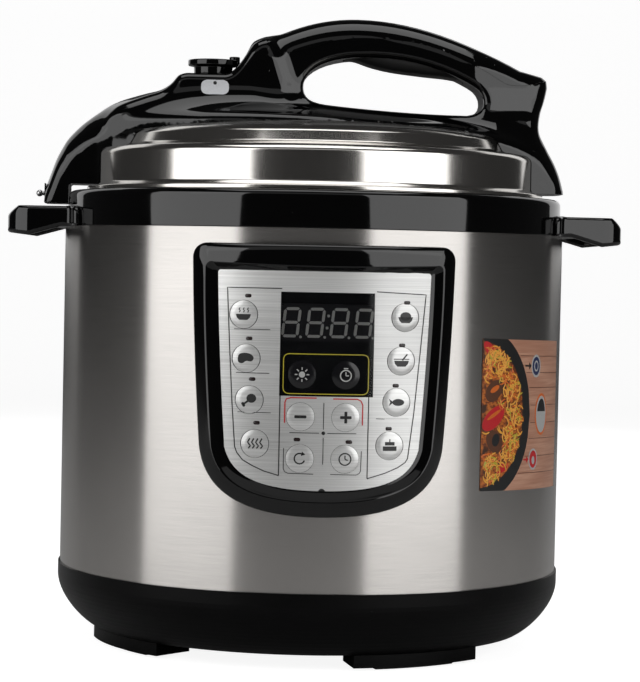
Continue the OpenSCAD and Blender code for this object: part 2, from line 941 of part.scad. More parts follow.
module inner_pot() {
  floor_round = 10;
  color("#b5b6b8")
    rotate_extrude()
      polygon(concat(
        [[0, pot_z]],
        curve(
          [pot_r - floor_round, pot_z],
          [pot_r - 4, pot_z],
          [pot_r, pot_z + 4],
          [pot_r, pot_z + floor_round],
          6
        ),
        [
          [pot_r, pot_z + floor_round],
          [pot_r, pot_top - pot_t],
          [pot_r + pot_rim_w, pot_top - pot_t],
          [pot_r + pot_rim_w, pot_top],
          [pot_r - pot_t, pot_top],
          [pot_r - pot_t, pot_z + floor_round]
        ],
        curve(
          [pot_r - pot_t, pot_z + floor_round],
          [pot_r - pot_t, pot_z + 4.6],
          [pot_r - 4.6, pot_z + 1.6],
          [pot_r - floor_round, pot_z + 1.6],
          6
        ),
        [[pot_r - floor_round, pot_z + 1.6], [0, pot_z + 1.6]]
      ));
}

module sealing_ring() {
  color([0.86, 0.86, 0.84, 0.8])
    rotate_extrude()
      polygon([
        [seal_in, seal_z + 1.2],
        [seal_in + 5, seal_z],
        [seal_out, seal_z],
        [seal_out, seal_top],
        [seal_in + 2.4, seal_top],
        [seal_in + 2.4, seal_top - 1.8],
        [seal_out - 2.6, seal_top - 2.2],
        [seal_out - 2.6, seal_z + 2.2],
        [seal_in + 5, seal_z + 2.2],
        [seal_in, seal_z + 2.4]
      ]);
}

module gasket_rack() {
  rack_out = seal_in - 0.5;
  color("#c4c6c8")
    tube(rack_out - 1.6, rack_out, seal_z + 1, plate_top - lug_plate_t);
}

// ---------- lid ----------

// Draws the children at every screw of the bridge cover
module at_cover_screws() {
  for (x = cover_screw_x)
    for (s = [-1, 1])
      translate([x, s * cover_screw_y, 0]) children();
}

module lid_lug_plate() {
  color("#b0b2b4")
    difference() {
      union() {
        rotate_extrude()
          polygon([
            [0, plate_top - lug_plate_t],
            [skirt_r - skirt_t, plate_top - lug_plate_t],
            [skirt_r - skirt_t, lid_lug_z],
            [skirt_r, lid_lug_z],
            [skirt_r, plate_top],
            [0, plate_top]
          ]);
        for (i = [0 : lugs - 1])
          arc_block(skirt_r - 0.4, collar_wall_r - outer_t - clear, lid_lug_z, lid_lug_top,
            360 / lugs * i, lug_arc);
        at_cover_screws()
          translate([0, 0, plate_top - eps]) cylinder(r = 4, h = crown_z - plate_top - 6);
      }
      at_cover_screws() cylinder(r = 1.6, h = crown_z);
      translate([-valve_x, 0, 0]) cylinder(r = vent_r + fit / 2, h = crown_z);
      translate([-float_x, 0, 0]) cylinder(r = float_r + clear, h = crown_z);
    }
}

// Outside of the steel dome, from the rolled edge to the crown, grown by a given distance
function dome_side(grow) = concat(
  [
    [flange_r + grow, lid_z],
    [flange_r + grow, flange_top - 0.7 + grow],
    [flange_r - 1 + grow, flange_top + grow],
    [wall_r + 1.2 + grow, wall_z - 0.6 + grow],
    [wall_r + grow, wall_z + grow]
  ],
  curve(
    [wall_r + grow, wall_top - 3],
    [wall_r + grow, wall_top + 0.4 + grow / 2],
    [wall_r - 4 + grow, wall_top + 1.8 + grow],
    [step_r + 6 + grow, step_z - 2.2 + grow],
    8
  ),
  [[step_r + 6 + grow, step_z - 2.2 + grow], [step_r + 1.4 + grow, step_z - 0.6 + grow]],
  curve(
    [step_r + grow, step_z + 0.6 + grow],
    [step_r + grow, step_top + 0.6],
    [step_r - 0.8 + grow / 2, step_top + 1.8 + grow],
    [step_r - 3.6, step_top + 2.2 + grow],
    6
  ),
  curve(
    [step_r - 3.6, step_top + 2.2 + grow],
    [step_r * 0.66, crown_z - 1.4 + grow],
    [step_r * 0.33, crown_z + grow],
    [0, crown_z + grow],
    10
  ),
  [[0, crown_z + grow]]
);

module dome_solid(grow) {
  rotate_extrude()
    polygon(concat([[0, lid_z]], dome_side(grow)));
}

module lid_dome() {
  color("#d6d3ce")
    difference() {
      dome_solid(0);
      difference() {
        dome_solid(-lid_t);
        translate([0, 0, lid_z - 1]) cylinder(r = flange_r + 1, h = 1 + eps);
      }
      translate([0, 0, lid_z - 1]) cylinder(r = wall_r - lid_t, h = wall_h);
      translate([-valve_x, 0, 0]) cylinder(r = vent_r + 1.5, h = grip_z);
      translate([-float_x, 0, 0]) cylinder(r = float_r + clear, h = grip_z);
      at_cover_screws() translate([0, 0, lid_z]) cylinder(r = 1.8, h = 80);
    }
}

// Top line of the bridge, without pod and handle
function bridge_side(inset) = concat(
  [[inset - bridge_left_x, bridge_left_z]],
  curve(
    [inset - bridge_left_x, bridge_left_z + 6.3],
    [inset - bridge_left_x + 4.3, bridge_left_z + 28 - inset],
    [inset - bridge_left_x + 14.3, bridge_left_z + 49 - inset],
    [46.3 - bridge_left_x, ring_top + 50 - inset],
    12
  ),
  curve(
    [46.3 - bridge_left_x, ring_top + 50 - inset],
    [-70, ring_top + 58 - inset],
    [-30, ring_top + 48 - inset],
    [78, ring_top + 45.4 - inset],
    12
  ),
  curve(
    [78, ring_top + 45.4 - inset],
    [bridge_right_x - 31.9, ring_top + 44 - inset],
    [bridge_right_x - 3 - inset, ring_top + 26],
    [bridge_right_x - inset, bridge_right_z],
    12
  ),
  [[bridge_right_x - inset, bridge_right_z]]
);

function bridge_plan_half(inset) = concat(
  curve(
    [inset - bridge_left_x, bridge_left_w - inset],
    [52.3 - bridge_left_x, bridge_left_w + 4 - inset],
    [-60, bridge_w - inset],
    [0, bridge_w - inset],
    12
  ),
  curve(
    [0, bridge_w - inset],
    [60, bridge_w - inset],
    [bridge_right_x - 42.9, bridge_right_w + 8 - inset],
    [bridge_right_x - inset, bridge_right_w - inset],
    12
  ),
  [[bridge_right_x - inset, bridge_right_w - inset]]
);

module bridge_block(inset) {
  intersection() {
    front_prism(
      concat(
        bridge_side(inset),
        [
          [bridge_right_x - inset, lid_z + 3],
          [-ring_r - 0.6, lid_z + 3],
          [-ring_r - 0.6, bridge_left_z]
        ]
      ),
      -bridge_w - 1, bridge_w + 1);
    translate([0, 0, bridge_left_z - 1])
      linear_extrude(grip_top)
        polygon(both_sides(bridge_plan_half(inset)));
  }
}

// Side outline of the valve pod and of the arch that carries the grip
pod_side = concat(
  curve(
    [-valve_x - 52.5, ring_top + 46],
    [-valve_x - 37.5, ring_top + 53.6],
    [-valve_x - 28.5, ring_top + 54.5],
    [-valve_x - 16.5, platform_z],
    10
  ),
  [
    [-valve_x - 16.5, platform_z],
    [7.5 - valve_x, platform_z],
    [15.5 - valve_x, ring_top + 73.4],
    [22.5 - valve_x, ring_top + 83.6],
    [arch_x, ring_top + 86.5]
  ],
  [[arch_x, ring_top + 44], [-valve_x - 52.5, ring_top + 44]]
);

arch_top = concat(
  curve([arch_x, ring_top + 86.5], [arch_x + 16, grip_z - 5.6], [2, grip_z], [22, grip_z]),
  curve([22, grip_z], [55, grip_z], [85, grip_z - 11.6], [115, grip_z - 26.9]),
  [[115, grip_z - 26.9]]
);

seam_line = concat(
  curve(
    [arch_x, ring_top + 86.4],
    [arch_x + 11, ring_top + 76],
    [-6, ring_top + 83],
    [10, ring_top + 87.5],
    10
  ),
  curve([10, ring_top + 87.5], [40, ring_top + 93], [70, ring_top + 83], [90, ring_top + 73.5], 10),
  curve([90, ring_top + 73.5], [104, ring_top + 63], [116, ring_top + 62], [130.6, ring_top + 68], 8),
  [[130.6, ring_top + 68]]
);

tail_side = concat(
  curve([131.2, ring_top + 66.8], [131, ring_top + 54], [125.5, ring_top + 50], [125.8, ring_top + 41.8], 8),
  curve(
    [125.8, ring_top + 41.8],
    [126.2, ring_top + 29],
    [bridge_right_x - 1.3, ring_top + 24],
    [bridge_right_x, bridge_right_z],
    8
  ),
  [[bridge_right_x, bridge_right_z], [84, ring_top + 30], [arch_x, ring_top + 40]]
);

hand_gap = concat(
  curve([-8.6, ring_top + 60], [-8.6, ring_top + 70], [4, ring_top + 76.5], [20.6, ring_top + 77.7], 8),
  curve([20.6, ring_top + 77.7], [50, ring_top + 80], [72, ring_top + 72], [86.8, ring_top + 63.8], 8),
  curve([86.8, ring_top + 63.8], [95, ring_top + 60], [97, ring_top + 48], [84, ring_top + 46.2], 8),
  curve([84, ring_top + 46.2], [60, ring_top + 45.6], [20, ring_top + 48.6], [4, ring_top + 50], 8),
  curve([4, ring_top + 50], [-4, ring_top + 51], [-8.6, ring_top + 54], [-8.6, ring_top + 60], 6)
);

module lid_cover() {
  color("#070707")
    difference() {
      union() {
        difference() {
          bridge_block(0);
          difference() {
            bridge_block(bridge_wall);
            at_cover_screws() translate([0, 0, lid_z]) cylinder(r = 4, h = grip_top);
          }
        }
        difference() {
          front_prism(pod_side, -pod_w, pod_w);
          translate([-valve_x - 70.5, -17, lid_z]) cube([58, 34, 50]);
        }
        difference() {
          front_prism(concat(seam_line, tail_side), -grip_w, grip_w);
          front_prism(hand_gap, -grip_w - 1, grip_w + 1);
        }
      }
      dome_solid(cover_gap);
      translate([-valve_x, 0, lid_z]) cylinder(r = 13, h = platform_z - lid_z - 3);
      translate([-valve_x, 0, platform_z]) cylinder(r = knob_r + 2.2, h = 20);
      cylinder(r = ring_r + clear, h = lid_z + 2.4);
      translate([-valve_x, 0, lid_z]) cylinder(r = 6.3, h = 120);
      translate([-float_x, 0, lid_z]) cylinder(r = float_r + 0.8, h = 90);
      at_cover_screws() translate([0, 0, lid_z]) cylinder(r = 1.6, h = crown_z - lid_z + 2);
      translate([-bridge_left_x - 1, 0, rod_z])
        rotate([0, 90, 0])
          cylinder(r = rod_r + 0.3, h = 14);
    }
}

module lid_handle_shell() {
  shell_points = concat(
    arch_top,
    [[125, ring_top + 71.8], [130.6, ring_top + 68.6]],
    [for (i = [len(seam_line) - 2 : -1 : 1]) seam_line[i] + [0, 0.05]]
  );
  color("#0b0b0b")
    front_prism(shell_points, -grip_w, grip_w);
}

module lid_handle_insert() {
  belly = concat(
    curve([20.6, ring_top + 77.6], [40, ring_top + 71], [60, ring_top + 68.5], [81, ring_top + 66.9], 10),
    [[81, ring_top + 66.9], [81, ring_top + 90], [20.6, ring_top + 90]]
  );
  color("#141414")
    intersection() {
      front_prism(belly, -grip_w + 3, grip_w - 3);
      front_prism(hand_gap, -grip_w, grip_w);
    }
}

module vent_pipe() {
  color("#cfd0d0")
    translate([-valve_x, 0, plate_top - lug_plate_t - 8])
      difference() {
        union() {
          cylinder(r = vent_r, h = vent_top - plate_top + lug_plate_t + 8);
          translate([0, 0, 8 + lug_plate_t + eps]) cylinder(r = 8, h = 3);
          translate([0, 0, 4.8]) cylinder(r = 8, h = 3.2 - eps);
        }
        translate([0, 0, -1]) cylinder(r = 1.6, h = 90);
      }
}

module vent_filter_cap() {
  color("#c0c2c4")
    difference() {
      translate([-valve_x, 0, plate_top - lug_plate_t - 12]) cylinder(r = 12, h = 12 - fit);
      translate([-valve_x, 0, plate_top - lug_plate_t - 10.8]) cylinder(r = 10.8, h = 12);
      for (i = [0 : 7])
        translate([-valve_x, 0, plate_top - lug_plate_t - 5])
          rotate([0, 90, 45 * i])
            cylinder(r = 1.4, h = 14);
    }
}

module valve_weight() {
  color("#bfc1c3")
    translate([-valve_x, 0, vent_top + 0.4])
      difference() {
        cylinder(r = 9, h = 11);
        translate([0, 0, -1]) cylinder(r = vent_r + 0.8, h = 0.9);
        translate([0, 0, -1]) cylinder(r = 1.8, h = 5);
      }
}

module valve_knob() {
  knob_z = platform_z + 0.3;
  color("#0a0a0a")
    translate([-valve_x, 0, knob_z])
      union() {
        cylinder(r = knob_neck_r, h = 5.2);
        translate([0, 0, 4.8]) cylinder(r = knob_r, h = 3.4);
        translate([0, 0, -4]) cylinder(r = 6, h = 5);
        translate([knob_r - 2.2, 0, 6.6]) cylinder(r = 3, h = 3.8);
      }
}

module float_valve() {
  float_low = plate_top - lug_plate_t - 5.6;
  color("#c9cacb")
    translate([-float_x, 0, 0])
      union() {
        translate([0, 0, float_low]) cylinder(r = float_r, h = float_top - float_low);
        translate([0, 0, plate_top + 0.3]) cylinder(r = 5.4, h = 2);
        translate([0, 0, float_low - 4]) cylinder(r = 4.6, h = 4 + eps);
      }
}

module lid_end_plate() {
  color("#181818")
    difference() {
      translate([-bridge_left_x - 0.4, -6, bridge_left_z + 0.4]) cube([0.4 - eps, 12, 11]);
      translate([-bridge_left_x - 2, 0, rod_z]) rotate([0, 90, 0]) cylinder(r = rod_r + 0.3, h = 4);
    }
}

module push_rod() {
  color("#cfcfcf")
    union() {
      translate([-bridge_left_x - 3.4, 0, rod_z]) sphere(r = 1.9);
      translate([-bridge_left_x - 3, 0, rod_z]) rotate([0, 90, 0]) cylinder(r = rod_r, h = 12.5);
      translate([-bridge_left_x + 3.4, 0, rod_z]) rotate([0, 90, 0]) cylinder(r = 2, h = 1);
    }
}

module push_rod_spring() {
  color("silver")
    translate([-bridge_left_x + 4.6, 0, rod_z])
      rotate([0, 90, 0])
        coil_spring(1.75, 0.25, 5, 5, 10, 6);
}

module lid_screws() {
  color("silver")
    at_cover_screws()
      translate([0, 0, plate_top - lug_plate_t - 1.8])
        union() {
          cylinder(r = 3, h = 1.7);
          translate([0, 0, 1.7 - eps]) cylinder(r = 1.5, h = crown_z - plate_top + 4);
        }
}

base_shell();
bottom_cover();
rubber_feet();
body_screws();
body_sleeve();
top_ring();
side_handle_left();
side_handle_right();
outer_pot();
heat_shield();
heating_plate();
sensor_spring();
temperature_sensor();
pressure_switch();
power_board();
power_board_parts();
thermal_fuse();
inlet_socket();
inlet_pins();
panel_frame();
panel_overlay();
display_window();
display_module();
control_board();
tact_switches();
indicator_lights();
body_sticker();
cup_bracket();
condensate_cup();
inner_pot();
sealing_ring();
gasket_rack();
lid_dome();
lid_lug_plate();
lid_cover();
lid_handle_shell();
lid_handle_insert();
vent_pipe();
vent_filter_cap();
lid_end_plate();
push_rod_spring();
lid_screws();
push_rod();
valve_knob();
valve_weight();
float_valve();
button_soup();
button_meat();
button_chicken();
button_steam();
button_rice();
button_porridge();
button_fish();
button_cake();
button_reheat();
button_slow_cook();
button_minus();
button_plus();
button_keep_warm();
button_delay();
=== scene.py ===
import json
import math
import random

import bmesh
import bpy
import numpy as np
from mathutils import Matrix, Vector


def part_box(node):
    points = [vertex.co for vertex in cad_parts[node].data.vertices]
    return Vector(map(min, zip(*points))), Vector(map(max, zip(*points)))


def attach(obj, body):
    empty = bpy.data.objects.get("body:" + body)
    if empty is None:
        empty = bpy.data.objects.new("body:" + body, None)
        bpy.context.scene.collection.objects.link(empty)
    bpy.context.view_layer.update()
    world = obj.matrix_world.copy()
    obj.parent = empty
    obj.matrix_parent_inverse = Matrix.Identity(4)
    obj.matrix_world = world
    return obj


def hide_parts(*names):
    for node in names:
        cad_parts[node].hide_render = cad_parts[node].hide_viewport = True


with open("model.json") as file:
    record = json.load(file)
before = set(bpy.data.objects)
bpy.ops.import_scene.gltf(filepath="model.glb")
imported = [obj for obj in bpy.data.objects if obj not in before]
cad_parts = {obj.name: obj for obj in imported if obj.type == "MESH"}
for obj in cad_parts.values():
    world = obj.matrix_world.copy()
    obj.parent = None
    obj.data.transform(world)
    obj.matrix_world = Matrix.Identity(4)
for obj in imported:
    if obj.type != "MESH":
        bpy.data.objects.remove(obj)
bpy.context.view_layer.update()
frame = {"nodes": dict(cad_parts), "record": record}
scene = bpy.context.scene
scene.view_settings.view_transform = "Standard"
nodes = frame["nodes"]
print("frame loaded:", len(nodes), "nodes")


# Sizes in millimetres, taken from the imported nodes
def span(node, axis):
    low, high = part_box(node)
    return low[axis] * 1000, high[axis] * 1000


bodyRadius = span("body_sleeve", 0)[1]
sleeveTop = span("body_sleeve", 2)[1]
ringRadius = span("top_ring", 0)[1]
ringTop = span("top_ring", 2)[1]
flangeRadius = span("lid_dome", 0)[1]
lidBottom, crownTop = span("lid_dome", 2)
mouthRadius = flangeRadius + 1.5
coverLeft, coverRight = span("lid_cover", 0)
coverBottom = span("lid_cover", 2)[0]
gripTop = span("lid_handle_shell", 2)[1]
platformTop = ringTop + 67
knobX, floatX = (sum(span(node, 0)) / 2 for node in ("valve_knob", "float_valve"))
filmRadius, frameRadius = (-span(node, 1)[0] for node in ("panel_overlay", "panel_frame"))
panelBottom, panelTop = span("panel_frame", 2)
panelHalf = span("panel_frame", 0)[1]


# Mesh helpers

def makePiece(name, verts, faces, materials, slots=None, angle=40, recalc=False):
    mesh = bpy.data.meshes.new(name)
    mesh.from_pydata([(x * 0.001, y * 0.001, z * 0.001) for x, y, z in verts], [], faces)
    for material in materials:
        mesh.materials.append(material)
    if slots is not None:
        mesh.polygons.foreach_set("material_index", slots)
    if recalc:
        bm = bmesh.new()
        bm.from_mesh(mesh)
        bmesh.ops.recalc_face_normals(bm, faces=bm.faces)
        bm.to_mesh(mesh)
        bm.free()
    mesh.polygons.foreach_set("use_smooth", [True] * len(mesh.polygons))
    mesh.set_sharp_from_angle(angle=math.radians(angle))
    mesh.update()
    piece = bpy.data.objects.new(name, mesh)
    scene.collection.objects.link(piece)
    return piece


def joinParts(parts):
    verts, faces, slots = [], [], []
    for partVerts, partFaces, slot in parts:
        start = len(verts)
        verts.extend(partVerts)
        faces.extend([tuple(i + start for i in face) for face in partFaces])
        slots.extend([slot] * len(partFaces))
    return verts, faces, slots


def bezier(a, b, c, d, count):
    points = []
    for i in range(count):
        t = i / count
        s = 1 - t
        points.append(tuple(s * s * s * a[k] + 3 * s * s * t * b[k] + 3 * s * t * t * c[k] + t * t * t * d[k]
                            for k in range(2)))
    return points


def smoothLine(points, steps=6):
    # Catmull-Rom through every point
    result = []
    padded = [points[0]] + list(points) + [points[-1]]
    for i in range(1, len(padded) - 2):
        p0, p1, p2, p3 = (np.array(padded[i + k], float) for k in (-1, 0, 1, 2))
        for s in range(steps):
            t = s / steps
            result.append(tuple(0.5 * (2 * p1 + (p2 - p0) * t + (2 * p0 - 5 * p1 + 4 * p2 - p3) * t * t
                                       + (3 * p1 - p0 - 3 * p2 + p3) * t ** 3)))
    result.append(tuple(points[-1]))
    return result


def roundCorners(points, radius, steps=5, closed=True):
    # radius is one number or one for each corner
    count = len(points)
    radii = radius if isinstance(radius, (list, tuple)) else [radius] * count
    result = []
    for i, point in enumerate(points):
        if radii[i] <= 0 or (not closed and i in (0, count - 1)):
            result.append(tuple(point))
            continue
        here = np.array(point, float)
        back = np.array(points[i - 1], float) - here
        ahead = np.array(points[(i + 1) % count], float) - here
        lengthBack, lengthAhead = np.linalg.norm(back), np.linalg.norm(ahead)
        back, ahead = back / lengthBack, ahead / lengthAhead
        cosine = float(np.clip(np.dot(back, ahead), -1, 1))
        half = math.acos(cosine) / 2
        if half > math.radians(88):
            result.append(tuple(point))
            continue
        cut = min(radii[i] / math.tan(half), 0.48 * lengthBack, 0.48 * lengthAhead)
        start, end = here + back * cut, here + ahead * cut
        for s in range(steps + 1):
            t = s / steps
            result.append(tuple((1 - t) ** 2 * start + 2 * t * (1 - t) * here + t * t * end))
    return result


def latheParts(profile, segments=160, centre=(0, 0), closed=True):
    # profile: (radius, height) points; a point on the axis becomes a single pole
    verts, rings = [], []
    for r, z in profile:
        if r < 1e-6:
            rings.append([len(verts)] * segments)
            verts.append((centre[0], centre[1], z))
        else:
            rings.append(list(range(len(verts), len(verts) + segments)))
            for i in range(segments):
                a = 2 * math.pi * i / segments
                verts.append((centre[0] + r * math.cos(a), centre[1] + r * math.sin(a), z))
    faces = []
    pairs = [(i, i + 1) for i in range(len(rings) - 1)]
    if closed:
        pairs.append((len(rings) - 1, 0))
    for a, b in pairs:
        for i in range(segments):
            j = (i + 1) % segments
            quad = [rings[a][i], rings[a][j], rings[b][j], rings[b][i]]
            unique = [v for k, v in enumerate(quad) if v != quad[k - 1]]
            if len(unique) >= 3:
                faces.append(tuple(unique))
    return verts, faces, 0


def lathePiece(name, profile, material, segments):
    verts, faces, _ = latheParts(profile, segments)
    return makePiece(name, verts, faces, [material], recalc=True)


# Shapes as distance fields, in millimetres: negative inside

def polygonField(px, pz, polygon):
    px, pz = np.asarray(px, float), np.asarray(pz, float)
    best = np.full(px.shape, 1e12)
    inside = np.zeros(px.shape, bool)
    count = len(polygon)
    for i in range(count):
        ax, az = polygon[i]
        bx, bz = polygon[(i + 1) % count]
        ex, ez = bx - ax, bz - az
        length = ex * ex + ez * ez
        if length < 1e-12:
            continue
        wx, wz = px - ax, pz - az
        t = np.clip((wx * ex + wz * ez) / length, 0, 1)
        dx, dz = wx - ex * t, wz - ez * t
        np.minimum(best, dx * dx + dz * dz, out=best)
        crosses = (az <= pz) != (bz <= pz)
        if abs(ez) > 1e-12:
            inside ^= crosses & (px < ax + (pz - az) / ez * ex)
    return np.where(inside, -1, 1) * np.sqrt(best)


def smoothMin(a, b, k):
    h = np.clip(0.5 + 0.5 * (b - a) / k, 0, 1)
    return b * (1 - h) + a * h - k * h * (1 - h)


def smoothMax(a, b, k):
    return -smoothMin(-a, -b, k)


def roundedSlab(flat, offset, half, radius):
    # an outline's distance given a thickness, with all its edges rounded
    a, b = flat + radius, np.abs(offset) - half + radius
    return np.minimum(np.maximum(a, b), 0) + np.hypot(np.maximum(a, 0), np.maximum(b, 0)) - radius


def surfaceNet(field, low, pitch):
    # one vertex in each cell that the surface crosses, one quad across each crossed grid line
    inside = field < 0
    shape = tuple(n - 1 for n in field.shape)

    def window(array, offset, size=shape):
        return array[offset[0]:offset[0] + size[0], offset[1]:offset[1] + size[1], offset[2]:offset[2] + size[2]]

    total = np.zeros(shape + (3,))
    count = np.zeros(shape)
    for axis in range(3):
        others = [d for d in range(3) if d != axis]
        for p in (0, 1):
            for q in (0, 1):
                offset = [0, 0, 0]
                offset[others[0]], offset[others[1]] = p, q
                ahead = list(offset)
                ahead[axis] = 1
                a, b = window(field, offset), window(field, ahead)
                cross = (a < 0) != (b < 0)
                t = np.where(cross, a / np.where(cross, a - b, 1), 0)
                total[..., axis] += t
                total[..., others[0]] += p * cross
                total[..., others[1]] += q * cross
                count += cross
    used = count > 0
    index = np.full(shape, -1)
    index[used] = np.arange(used.sum())
    cells = np.argwhere(used)
    verts = (cells + total[used] / count[used][:, None]) * pitch + np.array(low)
    faces = []
    for axis in range(3):
        u, w = (axis + 1) % 3, (axis + 2) % 3
        size = [n - 2 for n in field.shape]
        size[axis] += 1
        offset = [1, 1, 1]
        offset[axis] = 0
        ahead = [1, 1, 1]
        a, b = window(inside, offset, size), window(inside, ahead, size)
        spots = np.argwhere(a != b)
        if not len(spots):
            continue
        outward = a[tuple(spots.T)]
        corner = spots + np.array(offset)
        stepU, stepW = np.zeros(3, int), np.zeros(3, int)
        stepU[u], stepW[w] = 1, 1
        ring = [index[tuple((corner - m * stepU - n * stepW).T)] for m, n in ((1, 1), (0, 1), (0, 0), (1, 0))]
        quads = np.stack(ring, 1)
        quads[~outward] = quads[~outward][:, ::-1]
        faces.append(quads)
    return verts, np.concatenate(faces)


def slopes(verts, shapeField, h=0.02):
    slope = np.zeros_like(verts)
    for axis in range(3):
        step = np.zeros(3)
        step[axis] = h
        slope[:, axis] = (shapeField(verts + step) - shapeField(verts - step)) / (2 * h)
    return slope


def settle(verts, shapeField, reach):
    # moves every vertex onto the field's surface
    slope = slopes(verts, shapeField)
    move = shapeField(verts) / np.maximum((slope ** 2).sum(1), 0.2)
    return verts - slope * np.clip(move, -reach, reach)[:, None]


def snapEdge(points, fieldA, fieldB, reach, rounds=3):
    # pulls points onto the line where two surfaces meet
    p = points.copy()
    for _ in range(rounds):
        a, b = fieldA(p), fieldB(p)
        slopeA, slopeB = slopes(p, fieldA), slopes(p, fieldB)
        aa, ab, bb = (slopeA ** 2).sum(1), (slopeA * slopeB).sum(1), (slopeB ** 2).sum(1)
        det = aa * bb - ab * ab
        good = det > 0.05
        det = np.where(good, det, 1)
        step = ((bb * a - ab * b) / det)[:, None] * slopeA + ((aa * b - ab * a) / det)[:, None] * slopeB
        p = p - np.where(good[:, None], np.clip(step, -reach, reach), 0)
    kept = np.linalg.norm(p - points, axis=1) < reach * 2
    return np.where(kept[:, None], p, points)


def relax(verts, faces, rounds, share=0.5):
    # moves every vertex part of the way to the mean of its neighbours
    a = np.concatenate([faces[:, k] for k in range(4)])
    b = np.concatenate([faces[:, (k + 1) % 4] for k in range(4)])
    weight = np.bincount(a, minlength=len(verts)) + np.bincount(b, minlength=len(verts))
    for _ in range(rounds):
        total = np.zeros_like(verts)
        np.add.at(total, a, verts[b])
        np.add.at(total, b, verts[a])
        verts = verts * (1 - share) + total / np.maximum(weight, 1)[:, None] * share
    return verts


def bandedField(shapeField, low, high, pitch, stride=4):
    # the exact field near the surface only; a coarse one settles the rest
    sizes = [int(math.ceil((high[k] - low[k]) / pitch / stride)) * stride + 1 for k in range(3)]
    axes = [low[k] + pitch * np.arange(sizes[k]) for k in range(3)]
    coarse = shapeField(np.stack(np.meshgrid(*[a[::stride] for a in axes], indexing="ij"), -1).reshape(-1, 3))
    coarse = coarse.reshape([len(a[::stride]) for a in axes])
    nearest = [np.minimum((np.arange(n) + stride // 2) // stride, (n - 1) // stride) for n in sizes]
    field = coarse[np.ix_(*nearest)].copy()
    near = np.argwhere(np.abs(field) < pitch * stride * 1.35)
    points = near * pitch + np.array(low)
    values = np.concatenate([shapeField(points[i:i + 200000]) for i in range(0, len(points), 200000)])
    field[tuple(near.T)] = values
    return field


def fieldPiece(name, shapeField, low, high, pitch, material, angle=35, rounds=3, relaxing=2, edges=()):
    # edges: pairs of fields that meet in a sharp edge, whose cells' vertices stay on it
    field = bandedField(shapeField, low, high, pitch)
    verts, faces = surfaceNet(field, low, pitch)
    near = pitch * 0.8
    pinned = [(np.nonzero((np.abs(a(verts)) < near) & (np.abs(b(verts)) < near))[0], a, b) for a, b in edges]
    for _ in range(rounds):
        verts = relax(verts, faces, relaxing)
        verts = settle(verts, shapeField, pitch)
        for index, a, b in pinned:
            verts[index] = snapEdge(verts[index], a, b, pitch)
    print(name, len(faces), "faces")
    return makePiece(name, verts.tolist(), faces.tolist(), [material], angle=angle)


# Material helpers

def newGroup(name, inputs, outputs):
    group = bpy.data.node_groups.new(name, "ShaderNodeTree")
    for label, kind, value in inputs:
        socket = group.interface.new_socket(label, in_out="INPUT", socket_type=kind)
        if value is not None:
            socket.default_value = value
    for label, kind in outputs:
        group.interface.new_socket(label, in_out="OUTPUT", socket_type=kind)
    return group, group.nodes.new("NodeGroupInput"), group.nodes.new("NodeGroupOutput")


def link(tree, source, target):
    tree.links.new(source, target)


def mathNode(tree, operation, *values, clamp=False):
    node = tree.nodes.new("ShaderNodeMath")
    node.operation = operation
    node.use_clamp = clamp
    for i, value in enumerate(values):
        if isinstance(value, (int, float)):
            node.inputs[i].default_value = value
        else:
            link(tree, value, node.inputs[i])
    return node.outputs[0]


def noiseNode(tree, vector, scale, detail=3.0, roughness=0.55):
    node = tree.nodes.new("ShaderNodeTexNoise")
    node.inputs["Scale"].default_value = scale
    node.inputs["Detail"].default_value = detail
    node.inputs["Roughness"].default_value = roughness
    link(tree, vector, node.inputs["Vector"])
    return node.outputs["Fac"]


def mappedNode(tree, vector, scale):
    node = tree.nodes.new("ShaderNodeMapping")
    node.inputs["Scale"].default_value = scale
    link(tree, vector, node.inputs["Vector"])
    return node.outputs["Vector"]


def rangeNode(tree, value, fromMin, fromMax, toMin, toMax):
    node = tree.nodes.new("ShaderNodeMapRange")
    link(tree, value, node.inputs["Value"])
    for label, number in (("From Min", fromMin), ("From Max", fromMax), ("To Min", toMin), ("To Max", toMax)):
        if isinstance(number, (int, float)):
            node.inputs[label].default_value = number
        else:
            link(tree, number, node.inputs[label])
    return node.outputs["Result"]


def scaleColour(tree, colour, gain):
    node = tree.nodes.new("ShaderNodeVectorMath")
    node.operation = "SCALE"
    link(tree, colour, node.inputs[0])
    link(tree, gain, node.inputs["Scale"])
    return node.outputs[0]


def groupNode(tree, group, vector, **values):
    # a shared group with its inputs set by name, underscores standing for spaces
    node = tree.nodes.new("ShaderNodeGroup")
    node.node_tree = group
    link(tree, vector, node.inputs["Vector"])
    for label, value in values.items():
        node.inputs[label.replace("_", " ")].default_value = value
    return node


def mixColour(tree, factor, a, b):
    node = tree.nodes.new("ShaderNodeMix")
    node.data_type = "RGBA"
    for socket, value in ((node.inputs["Factor"], factor), (node.inputs["A"], a), (node.inputs["B"], b)):
        if isinstance(value, (int, float)):
            socket.default_value = value
        elif isinstance(value, (tuple, list)):
            socket.default_value = tuple(value) + ((1,) if len(value) == 3 else ())
        else:
            link(tree, value, socket)
    return node.outputs["Result"]


